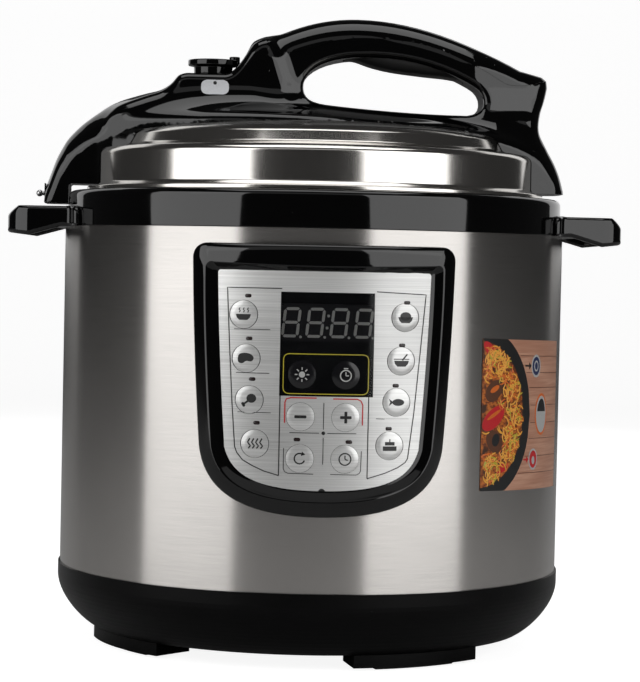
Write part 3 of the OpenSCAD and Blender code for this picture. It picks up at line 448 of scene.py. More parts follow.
def buildBrushGroup():
    # fine lines along two axes and a slow drift of tone; the Stretch vector sets the lines' direction
    group, start, end = newGroup("brushedLines", [
        ("Vector", "NodeSocketVector", None), ("Stretch", "NodeSocketVector", (12, 12, 2600)),
        ("Tone Depth", "NodeSocketFloat", 0.08), ("Base Roughness", "NodeSocketFloat", 0.3),
        ("Rough Depth", "NodeSocketFloat", 0.08), ("Colour", "NodeSocketColor", (0.6, 0.6, 0.6, 1))],
        [("Colour", "NodeSocketColor"), ("Roughness", "NodeSocketFloat"), ("Height", "NodeSocketFloat")])
    scaled = group.nodes.new("ShaderNodeVectorMath")
    scaled.operation = "MULTIPLY"
    link(group, start.outputs["Vector"], scaled.inputs[0])
    link(group, start.outputs["Stretch"], scaled.inputs[1])
    fine = noiseNode(group, scaled.outputs[0], 1.0, 4.0, 0.7)
    slow = noiseNode(group, start.outputs["Vector"], 9.0, 2.0, 0.5)
    tone = mathNode(group, "MULTIPLY", mathNode(group, "SUBTRACT", fine, 0.5), start.outputs["Tone Depth"])
    drift = mathNode(group, "MULTIPLY", mathNode(group, "SUBTRACT", slow, 0.5), start.outputs["Tone Depth"])
    value = mathNode(group, "ADD", mathNode(group, "ADD", tone, drift), 1.0)
    colour = scaleColour(group, start.outputs["Colour"], value)
    rough = mathNode(group, "ADD", start.outputs["Base Roughness"],
                     mathNode(group, "MULTIPLY", mathNode(group, "SUBTRACT", fine, 0.5), start.outputs["Rough Depth"]))
    link(group, colour, end.inputs["Colour"])
    link(group, rough, end.inputs["Roughness"])
    link(group, fine, end.inputs["Height"])
    return group


def buildMouldGroup():
    # moulded plastic: fine grain, slow waviness, faint smudges and a few dust specks
    group, start, end = newGroup("mouldedSkin", [
        ("Vector", "NodeSocketVector", None), ("Colour", "NodeSocketColor", (0.02, 0.02, 0.02, 1)),
        ("Grain Scale", "NodeSocketFloat", 900.0), ("Base Roughness", "NodeSocketFloat", 0.3),
        ("Smudge", "NodeSocketFloat", 0.08), ("Dust", "NodeSocketFloat", 0.2)],
        [("Colour", "NodeSocketColor"), ("Roughness", "NodeSocketFloat"), ("Height", "NodeSocketFloat")])
    vector = start.outputs["Vector"]
    grain = noiseNode(group, vector, 900.0, 2.0, 0.5)
    link(group, start.outputs["Grain Scale"], grain.node.inputs["Scale"])
    smudge = noiseNode(group, vector, 22.0, 4.0, 0.6)
    specks = group.nodes.new("ShaderNodeTexVoronoi")
    specks.inputs["Scale"].default_value = 170.0
    link(group, vector, specks.inputs["Vector"])
    small = rangeNode(group, specks.outputs["Distance"], 0.035, 0.02, 0.0, 1.0)
    chosen = mathNode(group, "GREATER_THAN", noiseNode(group, vector, 60.0, 0.0), 0.66)
    mask = mathNode(group, "MULTIPLY", mathNode(group, "MULTIPLY", small, chosen), start.outputs["Dust"], clamp=True)
    tone = rangeNode(group, smudge, 0.35, 0.7, 0.85, 1.15)
    dustColour = (0.5, 0.5, 0.48)
    colour = mixColour(group, mask, scaleColour(group, start.outputs["Colour"], tone), dustColour)
    rough = mathNode(group, "ADD", start.outputs["Base Roughness"],
                     mathNode(group, "MULTIPLY", rangeNode(group, smudge, 0.4, 0.75, 0.0, 1.0),
                              start.outputs["Smudge"]))
    rough = mathNode(group, "ADD", rough, mathNode(group, "MULTIPLY", mask, 0.4), clamp=True)
    link(group, colour, end.inputs["Colour"])
    link(group, rough, end.inputs["Roughness"])
    link(group, grain, end.inputs["Height"])
    return group


brushGroup = buildBrushGroup()
mouldGroup = buildMouldGroup()


def startMaterial(name):
    material = bpy.data.materials.new(name)
    material.use_nodes = True
    tree = material.node_tree
    tree.nodes.clear()
    output = tree.nodes.new("ShaderNodeOutputMaterial")
    shader = tree.nodes.new("ShaderNodeBsdfPrincipled")
    link(tree, shader.outputs["BSDF"], output.inputs["Surface"])
    place = tree.nodes.new("ShaderNodeTexCoord").outputs["Object"]
    return material, tree, shader, place


def addBump(tree, shader, height, strength, distance):
    bump = tree.nodes.new("ShaderNodeBump")
    bump.inputs["Strength"].default_value = strength
    bump.inputs["Distance"].default_value = distance
    link(tree, height, bump.inputs["Height"])
    link(tree, bump.outputs["Normal"], shader.inputs["Normal"])


def plasticMaterial(name, colour, roughness, smudge=0.05, grain=900.0, bump=0.05, dust=0.3, ior=1.5):
    material, tree, shader, place = startMaterial(name)
    group = groupNode(tree, mouldGroup, place, Colour=(*colour, 1), Grain_Scale=grain, Base_Roughness=roughness,
                      Smudge=smudge, Dust=dust)
    link(tree, group.outputs["Colour"], shader.inputs["Base Color"])
    link(tree, group.outputs["Roughness"], shader.inputs["Roughness"])
    shader.inputs["IOR"].default_value = ior
    addBump(tree, shader, group.outputs["Height"], bump, 0.0004)
    return material


def metalMaterial(name, colour, roughness, stretch, tone=0.08, roughDepth=0.08, bump=0.1, aniso=0.0, turn=0.0,
                  metallic=1.0, paintedHeightShade=None):
    material, tree, shader, place = startMaterial(name)
    group = groupNode(tree, brushGroup, place, Stretch=stretch, Tone_Depth=tone, Base_Roughness=roughness,
                      Rough_Depth=roughDepth, Colour=(*colour, 1))
    tint = group.outputs["Colour"]
    if paintedHeightShade:
        # painted light and shade by height: the colour scaled up towards the bottom and down towards the top, standing
        # in for how the lamps fall on the sleeve; low z, its gain, high z, its gain
        height = tree.nodes.new("ShaderNodeSeparateXYZ")
        link(tree, place, height.inputs[0])
        gain = rangeNode(tree, height.outputs["Z"], paintedHeightShade[0], paintedHeightShade[2], paintedHeightShade[1], paintedHeightShade[3])
        tint = scaleColour(tree, tint, gain)
    link(tree, tint, shader.inputs["Base Color"])
    link(tree, group.outputs["Roughness"], shader.inputs["Roughness"])
    shader.inputs["Metallic"].default_value = metallic
    if aniso:
        shader.inputs["Anisotropic"].default_value = aniso
        shader.inputs["Anisotropic Rotation"].default_value = turn
        tangent = tree.nodes.new("ShaderNodeTangent")
        tangent.direction_type = "RADIAL"
        tangent.axis = "Z"
        link(tree, tangent.outputs["Tangent"], shader.inputs["Tangent"])
    addBump(tree, shader, group.outputs["Height"], bump, 0.00005)
    return material


def glassMaterial(name, colour, roughness, alpha):
    material, tree, shader, place = startMaterial(name)
    smudge = noiseNode(tree, place, 30.0, 3.0)
    link(tree, rangeNode(tree, smudge, 0.3, 0.8, roughness, roughness + 0.06), shader.inputs["Roughness"])
    link(tree, mixColour(tree, smudge, colour, tuple(c * 1.15 for c in colour)), shader.inputs["Base Color"])
    link(tree, rangeNode(tree, smudge, 0.2, 0.8, alpha, alpha + 0.04), shader.inputs["Alpha"])
    addBump(tree, shader, smudge, 0.03, 0.0005)
    return material


def flatInk(name, colour, roughness=0.4):
    material, tree, shader, place = startMaterial(name)
    speck = noiseNode(tree, place, 1500.0, 2.0)
    link(tree, mixColour(tree, speck, tuple(c * 0.85 for c in colour), tuple(min(1, c * 1.15) for c in colour)),
         shader.inputs["Base Color"])
    link(tree, rangeNode(tree, speck, 0.2, 0.8, roughness - 0.05, roughness + 0.05), shader.inputs["Roughness"])
    addBump(tree, shader, speck, 0.05, 0.00003)
    return material


finishes = {
    "glossBlack": dict(colour=(0.0008, 0.0008, 0.0009), roughness=0.045, smudge=0.03, grain=60.0, bump=0.012,
                       dust=0.35),
    "satinBlack": dict(colour=(0.0014, 0.0014, 0.0015), roughness=0.31, smudge=0.06, grain=2200.0, bump=0.2,
                       dust=0.08, ior=1.2),
    "gripBlack": dict(colour=(0.004, 0.004, 0.004), roughness=0.5, smudge=0.05, grain=2600.0, bump=0.3, dust=0.1),
    "rubber": dict(colour=(0.018, 0.018, 0.018), roughness=0.75, smudge=0.08, grain=1400.0, bump=0.3, dust=0.4),
    "silicone": dict(colour=(0.72, 0.72, 0.69), roughness=0.42, smudge=0.08, grain=700.0, bump=0.1, dust=0.1),
    "board": dict(colour=(0.02, 0.13, 0.045), roughness=0.35, smudge=0.1, grain=500.0, bump=0.1, dust=0.2),
    # near-black board colour: painted shade standing in for the dark inside of the panel behind the smoked window, in
    # place of the board's green
    "blackBoard": dict(colour=(0.003, 0.005, 0.004), roughness=0.4, smudge=0.1, grain=500.0, bump=0.1, dust=0.2),
    "components": dict(colour=(0.035, 0.036, 0.04), roughness=0.45, smudge=0.1, grain=900.0, bump=0.15, dust=0.2),
    "displayBody": dict(colour=(0.012, 0.012, 0.014), roughness=0.4, smudge=0.05, grain=900.0, bump=0.05, dust=0.1),
    "darkKey": dict(colour=(0.006, 0.006, 0.007), roughness=0.16, smudge=0.03, grain=900.0, bump=0.02, dust=0.1),
    "insulation": dict(colour=(0.7, 0.68, 0.6), roughness=0.8, smudge=0.1, grain=1500.0, bump=0.4, dust=0.1),
    "lens": dict(colour=(0.02, 0.012, 0.012), roughness=0.2, smudge=0.03, grain=300.0, bump=0.03, dust=0.1),
}
metals = {
    # brushedSteel carries painted light and shade: its colour about 13% lighter near the bottom of the sleeve and 12%
    # darker near its top
    "brushedSteel": dict(colour=(0.5, 0.48, 0.46), roughness=0.24, stretch=(45, 45, 3000), tone=0.36, roughDepth=0.1,
                         bump=0.15, aniso=0.92, turn=0.25, paintedHeightShade=(0.06, 1.13, 0.25, 0.88)),
    "polishedSteel": dict(colour=(0.68, 0.655, 0.62), roughness=0.15, stretch=(260, 260, 60), tone=0.06,
                          roughDepth=0.06, bump=0.04),
    "plainSteel": dict(colour=(0.6, 0.6, 0.6), roughness=0.3, stretch=(40, 40, 1500), tone=0.1, roughDepth=0.1,
                       bump=0.1),
    "aluminium": dict(colour=(0.66, 0.67, 0.68), roughness=0.42, stretch=(300, 300, 300), tone=0.14,
                      roughDepth=0.15, bump=0.25),
    "film": dict(colour=(0.62, 0.62, 0.61), roughness=0.36, stretch=(7, 7, 2300), tone=1.25, roughDepth=0.1, bump=0.04,
                 metallic=0.5),
    "keyFilm": dict(colour=(0.66, 0.66, 0.65), roughness=0.3, stretch=(9, 9, 1300), tone=0.9, roughDepth=0.06,
                    bump=0.03,
                    metallic=0.45),
}
skins = {name: plasticMaterial(name, **values) for name, values in finishes.items()}
skins.update({name: metalMaterial(name, **values) for name, values in metals.items()})
skins["smokedWindow"] = glassMaterial("smokedWindow", (0.003, 0.003, 0.004), 0.06, 0.3)
skins["clearPlastic"] = glassMaterial("clearPlastic", (0.42, 0.44, 0.46), 0.08, 0.42)
inks = {
    "blackInk": ((0.012, 0.012, 0.012), 0.35), "redInk": ((0.5, 0.014, 0.018), 0.35),
    "yellowInk": ((0.42, 0.36, 0.03), 0.35), "paleInk": ((0.4, 0.4, 0.39), 0.4),
    "orangeInk": ((0.62, 0.13, 0.015), 0.35), "goldInk": ((0.78, 0.36, 0.05), 0.35),
    "brownInk": ((0.1, 0.035, 0.015), 0.35), "navyInk": ((0.02, 0.03, 0.09), 0.35),
    "digitInk": ((0.66, 0.66, 0.63), 0.5), "labelSilver": ((0.55, 0.56, 0.58), 0.35)}
skins.update({name: flatInk(name, colour, roughness) for name, (colour, roughness) in inks.items()})


def foodMaterial():
    # mottled orange, gold and brown
    material, tree, shader, place = startMaterial("foodPrint")
    patches = noiseNode(tree, place, 130.0, 3.0)
    grains = noiseNode(tree, mappedNode(tree, place, (400, 400, 700)), 1.0, 2.0)
    warm = mixColour(tree, rangeNode(tree, grains, 0.4, 0.6, 0, 1), (0.16, 0.03, 0.006), (0.5, 0.14, 0.02))
    colour = mixColour(tree, rangeNode(tree, patches, 0.5, 0.62, 0, 1), warm, (0.05, 0.018, 0.008))
    link(tree, colour, shader.inputs["Base Color"])
    link(tree, rangeNode(tree, grains, 0, 1, 0.3, 0.45), shader.inputs["Roughness"])
    addBump(tree, shader, grains, 0.1, 0.0001)
    return material


def woodMaterial():
    # planks of pale reddish wood with long grain
    material, tree, shader, place = startMaterial("woodPrint")
    grain = noiseNode(tree, mappedNode(tree, place, (30, 30, 900)), 1.0, 4.0, 0.65)
    slow = noiseNode(tree, mappedNode(tree, place, (25, 25, 110)), 1.0, 1.0)
    tone = mixColour(tree, rangeNode(tree, grain, 0.35, 0.65, 0, 1), (0.4, 0.19, 0.12), (0.56, 0.32, 0.22))
    colour = mixColour(tree, rangeNode(tree, slow, 0.35, 0.65, 0, 0.55), tone, (0.36, 0.16, 0.1))
    link(tree, colour, shader.inputs["Base Color"])
    link(tree, rangeNode(tree, grain, 0, 1, 0.3, 0.45), shader.inputs["Roughness"])
    addBump(tree, shader, grain, 0.05, 0.0001)
    return material


skins["foodPrint"] = foodMaterial()
skins["woodPrint"] = woodMaterial()
print("materials made:", len(skins))

# The record's slots, and the finish that each carried-over node gets
slotFinish = {
    "satin_black_plastic": "satinBlack", "gloss_black_plastic": "glossBlack", "grip_plastic": "gripBlack",
    "brushed_steel": "brushedSteel", "polished_steel": "polishedSteel", "plain_steel": "plainSteel",
    "aluminium": "aluminium", "rubber": "rubber", "silicone": "silicone", "film": "film",
    "dark_window": "smokedWindow", "display_body": "displayBody", "circuit_board": "board",
    "components": "components", "light_lens": "lens", "sticker": "paleInk", "clear_plastic": "clearPlastic",
    "white_insulation": "insulation"}
# the control board gets the near-black colour, which is painted shade for the dark behind the smoked window
nodeFinish = {"control_board": "blackBoard"}
for entry in frame["record"]["subparts"]:
    node = nodes[entry["node"]]
    for slot in node.material_slots:
        slot.material = skins[nodeFinish.get(entry["node"], slotFinish[entry["material_slot"]])]


def finishPiece(piece, body, slot, *replaced):
    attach(piece, body)
    if replaced:
        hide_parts(*replaced)


# Top ring: rounded shoulder, small step under the lid's edge
ring = dict(foot=0.1, shoulder=4.2, lip=2.4, bottomRound=0.5)
ringProfile = roundCorners([
    (ringRadius, sleeveTop + ring["foot"]), (ringRadius, ringTop), (mouthRadius + 0.2, ringTop),
    (mouthRadius, ringTop - 6.7), (mouthRadius - 2.4, ringTop - 6.7), (mouthRadius - 2.4, ringTop - 9.6),
    (ringRadius - 3, ringTop - 9.6), (ringRadius - 3, sleeveTop + ring["foot"])],
    [ring["bottomRound"], ring["shoulder"], 1.0, 0.3, 0.3, 0.3, 0.3, 0.3], 7)
topRing = lathePiece("topRing", ringProfile, skins["glossBlack"], 256)
finishPiece(topRing, "root", "gloss_black_plastic", "top_ring")

# Steel lid: rolled edge, tall wall, step, crown
lid = dict(sheet=1.0, wallIn=6.4, wallHeight=17.6, stepIn=16.4, stepHeight=5.4)
wallRadius = flangeRadius - lid["wallIn"]
stepRadius = wallRadius - lid["stepIn"]
wallBottom = lidBottom + 3.5
wallTop = wallBottom + lid["wallHeight"]
stepBottom = wallTop + 5
stepTop = stepBottom + lid["stepHeight"]
outerSide = roundCorners([
    (flangeRadius, lidBottom), (flangeRadius, lidBottom + 2), (wallRadius + 1.6, lidBottom + 2.3),
    (wallRadius, wallBottom + 0.6), (wallRadius, wallTop), (wallRadius - 3.2, wallTop + 2.6),
    (stepRadius + 5.5, stepBottom - 2.2), (stepRadius + 0.9, stepBottom - 0.4), (stepRadius - 2.0, stepTop),
    (stepRadius - 5, stepTop + 2.2)],
    [0.5, 0.9, 0.8, 1.5, 3.6, 4, 3, 1.6, 2.4, 3], 5, closed=False)
crownCurve = bezier((stepRadius - 5.4, stepTop + 2.3), (stepRadius * 0.66, crownTop - 1.4),
                    (stepRadius * 0.33, crownTop), (0, crownTop), 14)
domeOuter = outerSide[:-1] + crownCurve + [(0, crownTop)]


def insetProfile(profile, thickness):
    result = []
    for i, (r, z) in enumerate(profile):
        before = profile[max(i - 1, 0)]
        after = profile[min(i + 1, len(profile) - 1)]
        dr, dz = after[0] - before[0], after[1] - before[1]
        length = math.hypot(dr, dz) or 1
        result.append((max(r - dz / length * thickness, 0), z + dr / length * thickness))
    return result


domeInner = [(r, z) for r, z in insetProfile(domeOuter, lid["sheet"]) if z > lidBottom + 1.2 and r < wallRadius + 0.2]
domeInner[-1] = (0, crownTop - lid["sheet"])
domeProfile = [(wallRadius - lid["sheet"], lidBottom)] + domeOuter + domeInner[::-1]
lidDome = lathePiece("lidDome", domeProfile, skins["polishedSteel"], 256)
finishPiece(lidDome, "lid", "polished_steel", "lid_dome")
print("ring and lid made")

# Bridge cover with the valve pod and the arched grip
bridge = dict(leftHalf=14, middleHalf=44, rightHalf=22, creaseRound=4.0, podHalf=20, podBlend=13, gripHalf=17,
              gripRound=9, gripBlend=10, seamGap=0.07, lidClear=0.3)
up = ringTop


def lifted(points):
    return [(x, up + z) for x, z in points]


crest = smoothLine([(coverLeft, coverBottom - 3), (coverLeft, coverBottom), (-152.5, up - 0.2), (-149.6, up + 8.8),
                    (-146.3, up + 17.8), (-143, up + 24.3), (-139.7, up + 29.5), (-133, up + 36.5), (-126.3, up + 41.7),
                    (-119.5, up + 45.2), (-112.8, up + 47.7), (-106, up + 50.1), (-92, up + 53), (-70, up + 54.5),
                    (-40, up + 53.5), (-10, up + 51.5), (20, up + 49), (41.7, up + 47.5), (78.6, up + 45.6),
                    (100, up + 42.5), (115, up + 36.5), (126, up + 27.5), (133.5, up + 15), (coverRight, up + 4.6),
                    (coverRight, up)], 4)
bridgeOutline = crest + [(coverRight, up - 12), (coverLeft, up - 12)]
planLeft = bezier((coverLeft, bridge["leftHalf"]), (-100, bridge["leftHalf"] + 4), (-60, bridge["middleHalf"]),
                  (0, bridge["middleHalf"]), 16)
planRight = bezier((0, bridge["middleHalf"]), (60, bridge["middleHalf"]), (95, bridge["rightHalf"] + 8),
                   (coverRight, bridge["rightHalf"]), 16) + [(coverRight + 4, bridge["rightHalf"] - 1)]
planLine = np.array(planLeft + planRight)
crownDropX = np.array([-152, -120, -66, 0, 64, 104, 138])
crownDropZ = np.array([9.0, 12.5, 12.0, 8.5, 8.0, 9.0, 8.0])
podOutline = smoothLine(lifted([(-116, 40), (-112, 46), (-97, 52.2), (-88, 55.6), (-82.4, 60.6), (-78.5, 65.4),
                                (-74, 67)]), 5) \
    + smoothLine(lifted([(-52, 67), (-48.5, 68.6), (-44, 73.4), (-37, 83.2), (-31, 86.4), (-27, 86)]), 4) \
    + lifted([(-18, 60), (-20, 40)])
archTop = bezier((-34, up + 84.6), (-15, gripTop - 5.6), (2, gripTop), (22, gripTop), 12) \
    + bezier((22, gripTop), (55, gripTop), (85, gripTop - 11.6), (115, gripTop - 26.9), 14) \
    + lifted([(115, 73.5), (121.8, 71.9), (127.8, 70.4), (130.6, 68.2)])
tailSide = lifted([(131.2, 64.2), (129.6, 57.3), (127.4, 50.5), (125.9, 43.7), (126, 38), (127.4, 33.5), (130.2, 26.8),
                   (133.8, 20), (136.3, 13.3), (137.6, 6.5), (137.8, 4.6)])
gripOutline = archTop + smoothLine(tailSide, 3) + lifted([(84, 20), (-30, 30)])
handGap = bezier((-8.6, up + 60), (-8.6, up + 70), (4, up + 76.5), (20.6, up + 77.7), 9) \
    + bezier((20.6, up + 77.7), (50, up + 80), (72, up + 72), (86.8, up + 63.8), 9) \
    + bezier((86.8, up + 63.8), (95, up + 60), (97, up + 48), (84, up + 45.9), 8) \
    + bezier((84, up + 45.9), (60, up + 45.2), (20, up + 48.2), (4, up + 50), 8) \
    + bezier((4, up + 50), (-4, up + 51), (-8.6, up + 54), (-8.6, up + 60), 6)
seamLine = smoothLine(lifted([(-31, 86.7), (-24, 81.8), (-18, 79.8), (-4, 81.8), (6, 85.8), (25, 88.8), (60, 85.8),
                              (90, 73.8), (103, 66.8), (108, 64.8), (117, 64.8), (129.5, 67.8), (134, 69)]), 4)
seamRegion = [(-31.5, up + 120)] + seamLine + [(160, up + 70), (160, up + 120)]
domeOutline = [(0, lidBottom - 40), (flangeRadius, lidBottom - 40)] + domeOuter


def bridgeField(p):
    x, y, z = p[:, 0], p[:, 1], p[:, 2]
    half = np.interp(x, planLine[:, 0], planLine[:, 1])
    across = np.abs(y) / half
    drop = np.interp(x, crownDropX, crownDropZ) * np.minimum(across, 1.3) ** 2
    body = smoothMax(polygonField(x, z + drop, bridgeOutline), (np.abs(y) - half) * 0.96, bridge["creaseRound"])
    pod = roundedSlab(polygonField(x, z, podOutline), y, bridge["podHalf"], 4.5)
    whole = smoothMin(body, pod, bridge["podBlend"])
    # the grip's top is crowned, except towards the tail, where the grip is narrower
    crowned = np.clip((z - up - 66) / 12, 0, 1) * np.clip((118 - x) / 30, 0, 1)
    lowered = z + 4.5 * np.minimum(np.abs(y) / bridge["gripHalf"], 1.2) ** 2 * crowned
    gripHalf = bridge["gripHalf"] + np.interp(z, [up + 45, up + 64], [3.5, 0]) * np.clip((x - 60) / 40, 0, 1)
    gripHalf = gripHalf - 8.5 * np.clip((x - 88) / 44, 0, 1) * np.clip((z - up - 30) / 20, 0, 1)
    grip = roundedSlab(polygonField(x, lowered, gripOutline), y, gripHalf, bridge["gripRound"])
    gap = polygonField(x, z, handGap)
    grip = smoothMax(grip, -gap, 4.5)
    whole = smoothMin(whole, grip, bridge["gripBlend"])
    return smoothMax(whole, -(gap + 1.2), 2.0)


def domeTerm(p):
    return bridge["lidClear"] - polygonField(np.hypot(p[:, 0], p[:, 1]), p[:, 2], domeOutline)


def underTerm(p):
    # flat underside just above the ring, and a block outside the ring that reaches lower
    beside = np.where(p[:, 0] < 0, ringRadius + 0.55 - np.hypot(p[:, 0], p[:, 1]), 50.0)
    return np.minimum(beside, lidBottom + 3 - p[:, 2])


def recessTerm(p):
    return -np.maximum(np.hypot(p[:, 0] - knobX, p[:, 1]) - 16.4, platformTop - p[:, 2])


def seamTerm(p):
    return polygonField(p[:, 0], p[:, 2], seamRegion) + bridge["seamGap"]


def underSeamTerm(p):
    return bridge["seamGap"] - polygonField(p[:, 0], p[:, 2], seamRegion)


def coverField(p):
    x, y, z = p[:, 0], p[:, 1], p[:, 2]
    field = np.maximum(bridgeField(p), domeTerm(p))
    field = np.maximum(field, np.maximum(underTerm(p), coverBottom - z))
    fromKnob = np.hypot(x - knobX, y)
    field = np.maximum(field, recessTerm(p))
    field = smoothMax(field, -np.maximum(fromKnob - 13, z - platformTop + 3), 1.0)
    field = smoothMax(field, 6.5 - fromKnob, 1.2)
    field = smoothMax(field, 4.2 - np.hypot(x - floatX, y), 1.2)
    return np.maximum(field, underSeamTerm(p))


def shellField(p):
    return np.maximum(bridgeField(p), seamTerm(p))


finePitch = 1.1
coverEdges = [(bridgeField, term) for term in (domeTerm, underTerm, recessTerm, underSeamTerm)]
coverPiece = fieldPiece("bridgeCover", coverField, (coverLeft - 3, -49, coverBottom - 3),
                        (coverRight + 3, 49, gripTop + 3), finePitch, skins["glossBlack"], edges=coverEdges)
finishPiece(coverPiece, "lid", "gloss_black_plastic", "lid_cover")
shellPiece = fieldPiece("gripShell", shellField, (-36, -22, up + 58), (137, 22, gripTop + 3), finePitch * 0.9,
                        skins["glossBlack"], edges=[(bridgeField, seamTerm)])
finishPiece(shellPiece, "lid", "gloss_black_plastic", "lid_handle_shell")

gripInsertSizes = dict(half=13.5, rounding=6.0)
belly = smoothLine(lifted([(14, 76.6), (20.6, 76.4), (30, 73.4), (42, 70.9), (60, 68.9), (72, 67.9), (81, 66.4),
                           (87, 64.4)]), 4) + lifted([(92, 74), (60, 86), (20, 86)])


def insertField(p):
    flat = polygonField(p[:, 0], p[:, 2] - 2.2 * np.minimum((p[:, 1] / 13) ** 2, 1.4), belly)
    slab = roundedSlab(flat, p[:, 1], gripInsertSizes["half"], gripInsertSizes["rounding"])
    # clear of the grip above it, but for a hidden edge
    return np.maximum(slab, polygonField(p[:, 0], p[:, 2], handGap) - 2.5)


insertPiece = fieldPiece("gripInsert", insertField, (10, -16, up + 60), (96, 16, up + 84), finePitch * 0.8,
                         skins["gripBlack"])
finishPiece(insertPiece, "lid", "grip_plastic", "lid_handle_insert")
print("bridge cover made")

# Carrying ears: flat shell with a chamfered end, open underneath
ear = dict(width=98, top=9.4, height=16.4, wall=3.2, chamfer=5.4)
earEnd = span("side_handle_right", 0)[1]
earTop = up - ear["top"]
earLow = earTop - ear["height"]
earHalf = ear["width"] / 2


def earPlan(inset):
    half = [(ringRadius - 20, earHalf - 6 - inset), (ringRadius - 1, earHalf - 8 - inset)] + bezier(
        (earEnd - 16, earHalf - 11 - inset), (earEnd - 5, earHalf - 12 - inset), (earEnd - inset, earHalf - 17 - inset),
        (earEnd - inset, earHalf - 27 - inset), 8) + [(earEnd - inset, earHalf - 27 - inset)]
    return half + [(x, -y) for x, y in half[::-1]]


earSide = [(ringRadius - 20, earLow + 5), (bodyRadius + 1, earLow + 5), (earEnd - 13, earLow), (earEnd, earLow + 1.5),
           (earEnd, earTop - ear["chamfer"]), (earEnd - 7, earTop), (ringRadius - 20, earTop)]
earHollow = [(bodyRadius + 3.6, earLow - 10), (earEnd + 8, earLow - 10), (earEnd + 8, earTop - 8.6),
             (earEnd - 10.2, earTop - ear["wall"]), (bodyRadius + 3.6, earTop - ear["wall"])]
rootPlate = roundCorners([(-earHalf, sleeveTop + 0.1), (earHalf, sleeveTop + 0.1), (earHalf - 0.4, earTop),
                          (0.4 - earHalf, earTop)], [0.5, 0.5, 9, 9], 6)
outerPlan, innerPlan = earPlan(0), earPlan(ear["wall"])


def earField(p):
    x, y, z = np.abs(p[:, 0]), p[:, 1], p[:, 2]
    r = np.hypot(x, y)
    shell = smoothMax(polygonField(x, y, outerPlan), polygonField(x, z, earSide), 2.6)
    hollow = smoothMax(polygonField(x, y, innerPlan), polygonField(x, z, earHollow), 1.4)
    shell = smoothMax(shell, -hollow, 1.2)
    plate = smoothMax(polygonField(y, z, rootPlate), r - ringRadius - 3.4, 1.8)
    field = smoothMin(shell, plate, 1.5)
    field = smoothMax(field, -np.where(r < ringRadius + 12, np.maximum(hollow, earLow - 10 - z), 9.0), 0.6)
    field = np.maximum(field, np.where(z > sleeveTop + 0.1, ringRadius + 0.12 - r, bodyRadius + 0.12 - r))
    return np.maximum(field, 20 - x)


earPitch = 0.85
for pieceName, side, nodeName in (("earLeft", -1, "side_handle_left"), ("earRight", 1, "side_handle_right")):
    near, far = sorted((side * (ringRadius - 12), side * (earEnd + 2)))
    earPiece = fieldPiece(pieceName, earField, (near, -earHalf - 2, earLow - 2), (far, earHalf + 2, earTop + 2),
                          earPitch, skins["glossBlack"], 60)
    finishPiece(earPiece, "root", "gloss_black_plastic", nodeName)
print("ears made")

# Control panel, drawn flat as (x, z) and wrapped round the body's axis


def panelHalfOutline(inset):
    w, low, top = panelHalf, panelBottom, panelTop
    turn = max(1.8, 8 - inset * 0.45)
    lower = bezier((0, low + inset), (36, low + inset), (w - 9 - inset, low + 8 + inset), (w - 5.2 - inset,
                                                                                           low + 35), 22)
    upper = bezier((w - 5.2 - inset, low + 35), (w - 2.8 - inset, low + 66), (w - 0.9 - inset, top - 40),
                   (w - 0.4 - inset, top - turn - inset), 10)
    corner = bezier((w - 0.4 - inset, top - turn - inset), (w - 0.3 - inset, top - turn * 0.43 - inset),
                    (w - turn * 0.45 - inset, top - inset), (w - turn - inset, top - inset), 12)
    across = [((w - turn - inset) * t, top - inset) for t in (1, 0.75, 0.5, 0.25)]
    return lower + upper + corner + across


def panelOutline(inset):
    half = panelHalfOutline(inset)
    return half + [(0, panelTop - inset)] + [(-x, z) for x, z in half[:0:-1]]


def onBody(x, z, radius):
    # a panel point at a chord distance x from the centre line
    a = math.asin(max(-0.999, min(0.999, x / filmRadius)))
    return (radius * math.sin(a), -radius * math.cos(a), z)


def frameInset(base, extraTop, extraBottom, dropSide, dropTop):
    # more inset at the top or bottom than at the sides; gives (x, z, radius)
    outer, inner = panelOutline(base), panelOutline(base + 1)
    result = []
    for (x0, z0), (x1, z1) in zip(outer, inner):
        dx, dz = x1 - x0, z1 - z0
        length = math.hypot(dx, dz) or 1
        topShare, bottomShare = max(0.0, -dz / length) ** 3, max(0.0, dz / length) ** 3
        extra = extraTop * topShare + extraBottom * bottomShare
        result.append((x0 + dx / length * extra, z0 + dz / length * extra,
                       frameRadius - dropSide * (1 - topShare) - dropTop * topShare))
    return result


# side inset, extra at the top, extra at the bottom, drop at the sides, drop at the top:
# a band that leans outward, a steep bevel, a dark ledge
frameSteps = [(0.0, 0, 0, 7.0, 7.0), (0.0, 0, 0, 4.9, 3.4), (0.2, 0, 0, 4.1, 2.3), (0.7, 0, 0, 3.5, 1.4),
              (1.6, 0, 0, 2.9, 0.8), (4.2, 0.6, 0, 1.5, 0.45), (7.2, 2.6, 0, 0.2, 0.1), (7.9, 3.0, 0, 0.0, 0.0),
              (8.5, 3.1, 0, 0.15, 0.15),
              (9.0, 3.0, 0.1, 0.5, 0.6), (11.0, 2.3, 1.4, 2.0, 2.1), (11.5, 2.1, 1.5, 2.3, 2.4), (12.1, 1.6,
                                                                                                  1.2, 2.45, 2.55),
              (13.8, 0, 0, 2.78, 2.78), (14.0, 0, 0, 5.1, 5.1), (12, 0, 0, 5.9, 5.9), (3, 0, 0, 9.5, 9.5)]
frameVerts, frameFaces = [], []
for step in frameSteps:
    frameVerts.extend(onBody(x, z, radius) for x, z, radius in frameInset(*step))
around = len(panelOutline(0))
for level in range(len(frameSteps)):
    following = (level + 1) % len(frameSteps)
    for i in range(around):
        j = (i + 1) % around
        here, there = level * around, following * around
        frameFaces.append((here + i, here + j, there + j, there + i))
panelFrame = makePiece("panelFrame", frameVerts, frameFaces, [skins["glossBlack"]], angle=28, recalc=True)
finishPiece(panelFrame, "root", "gloss_black_plastic", "panel_frame")


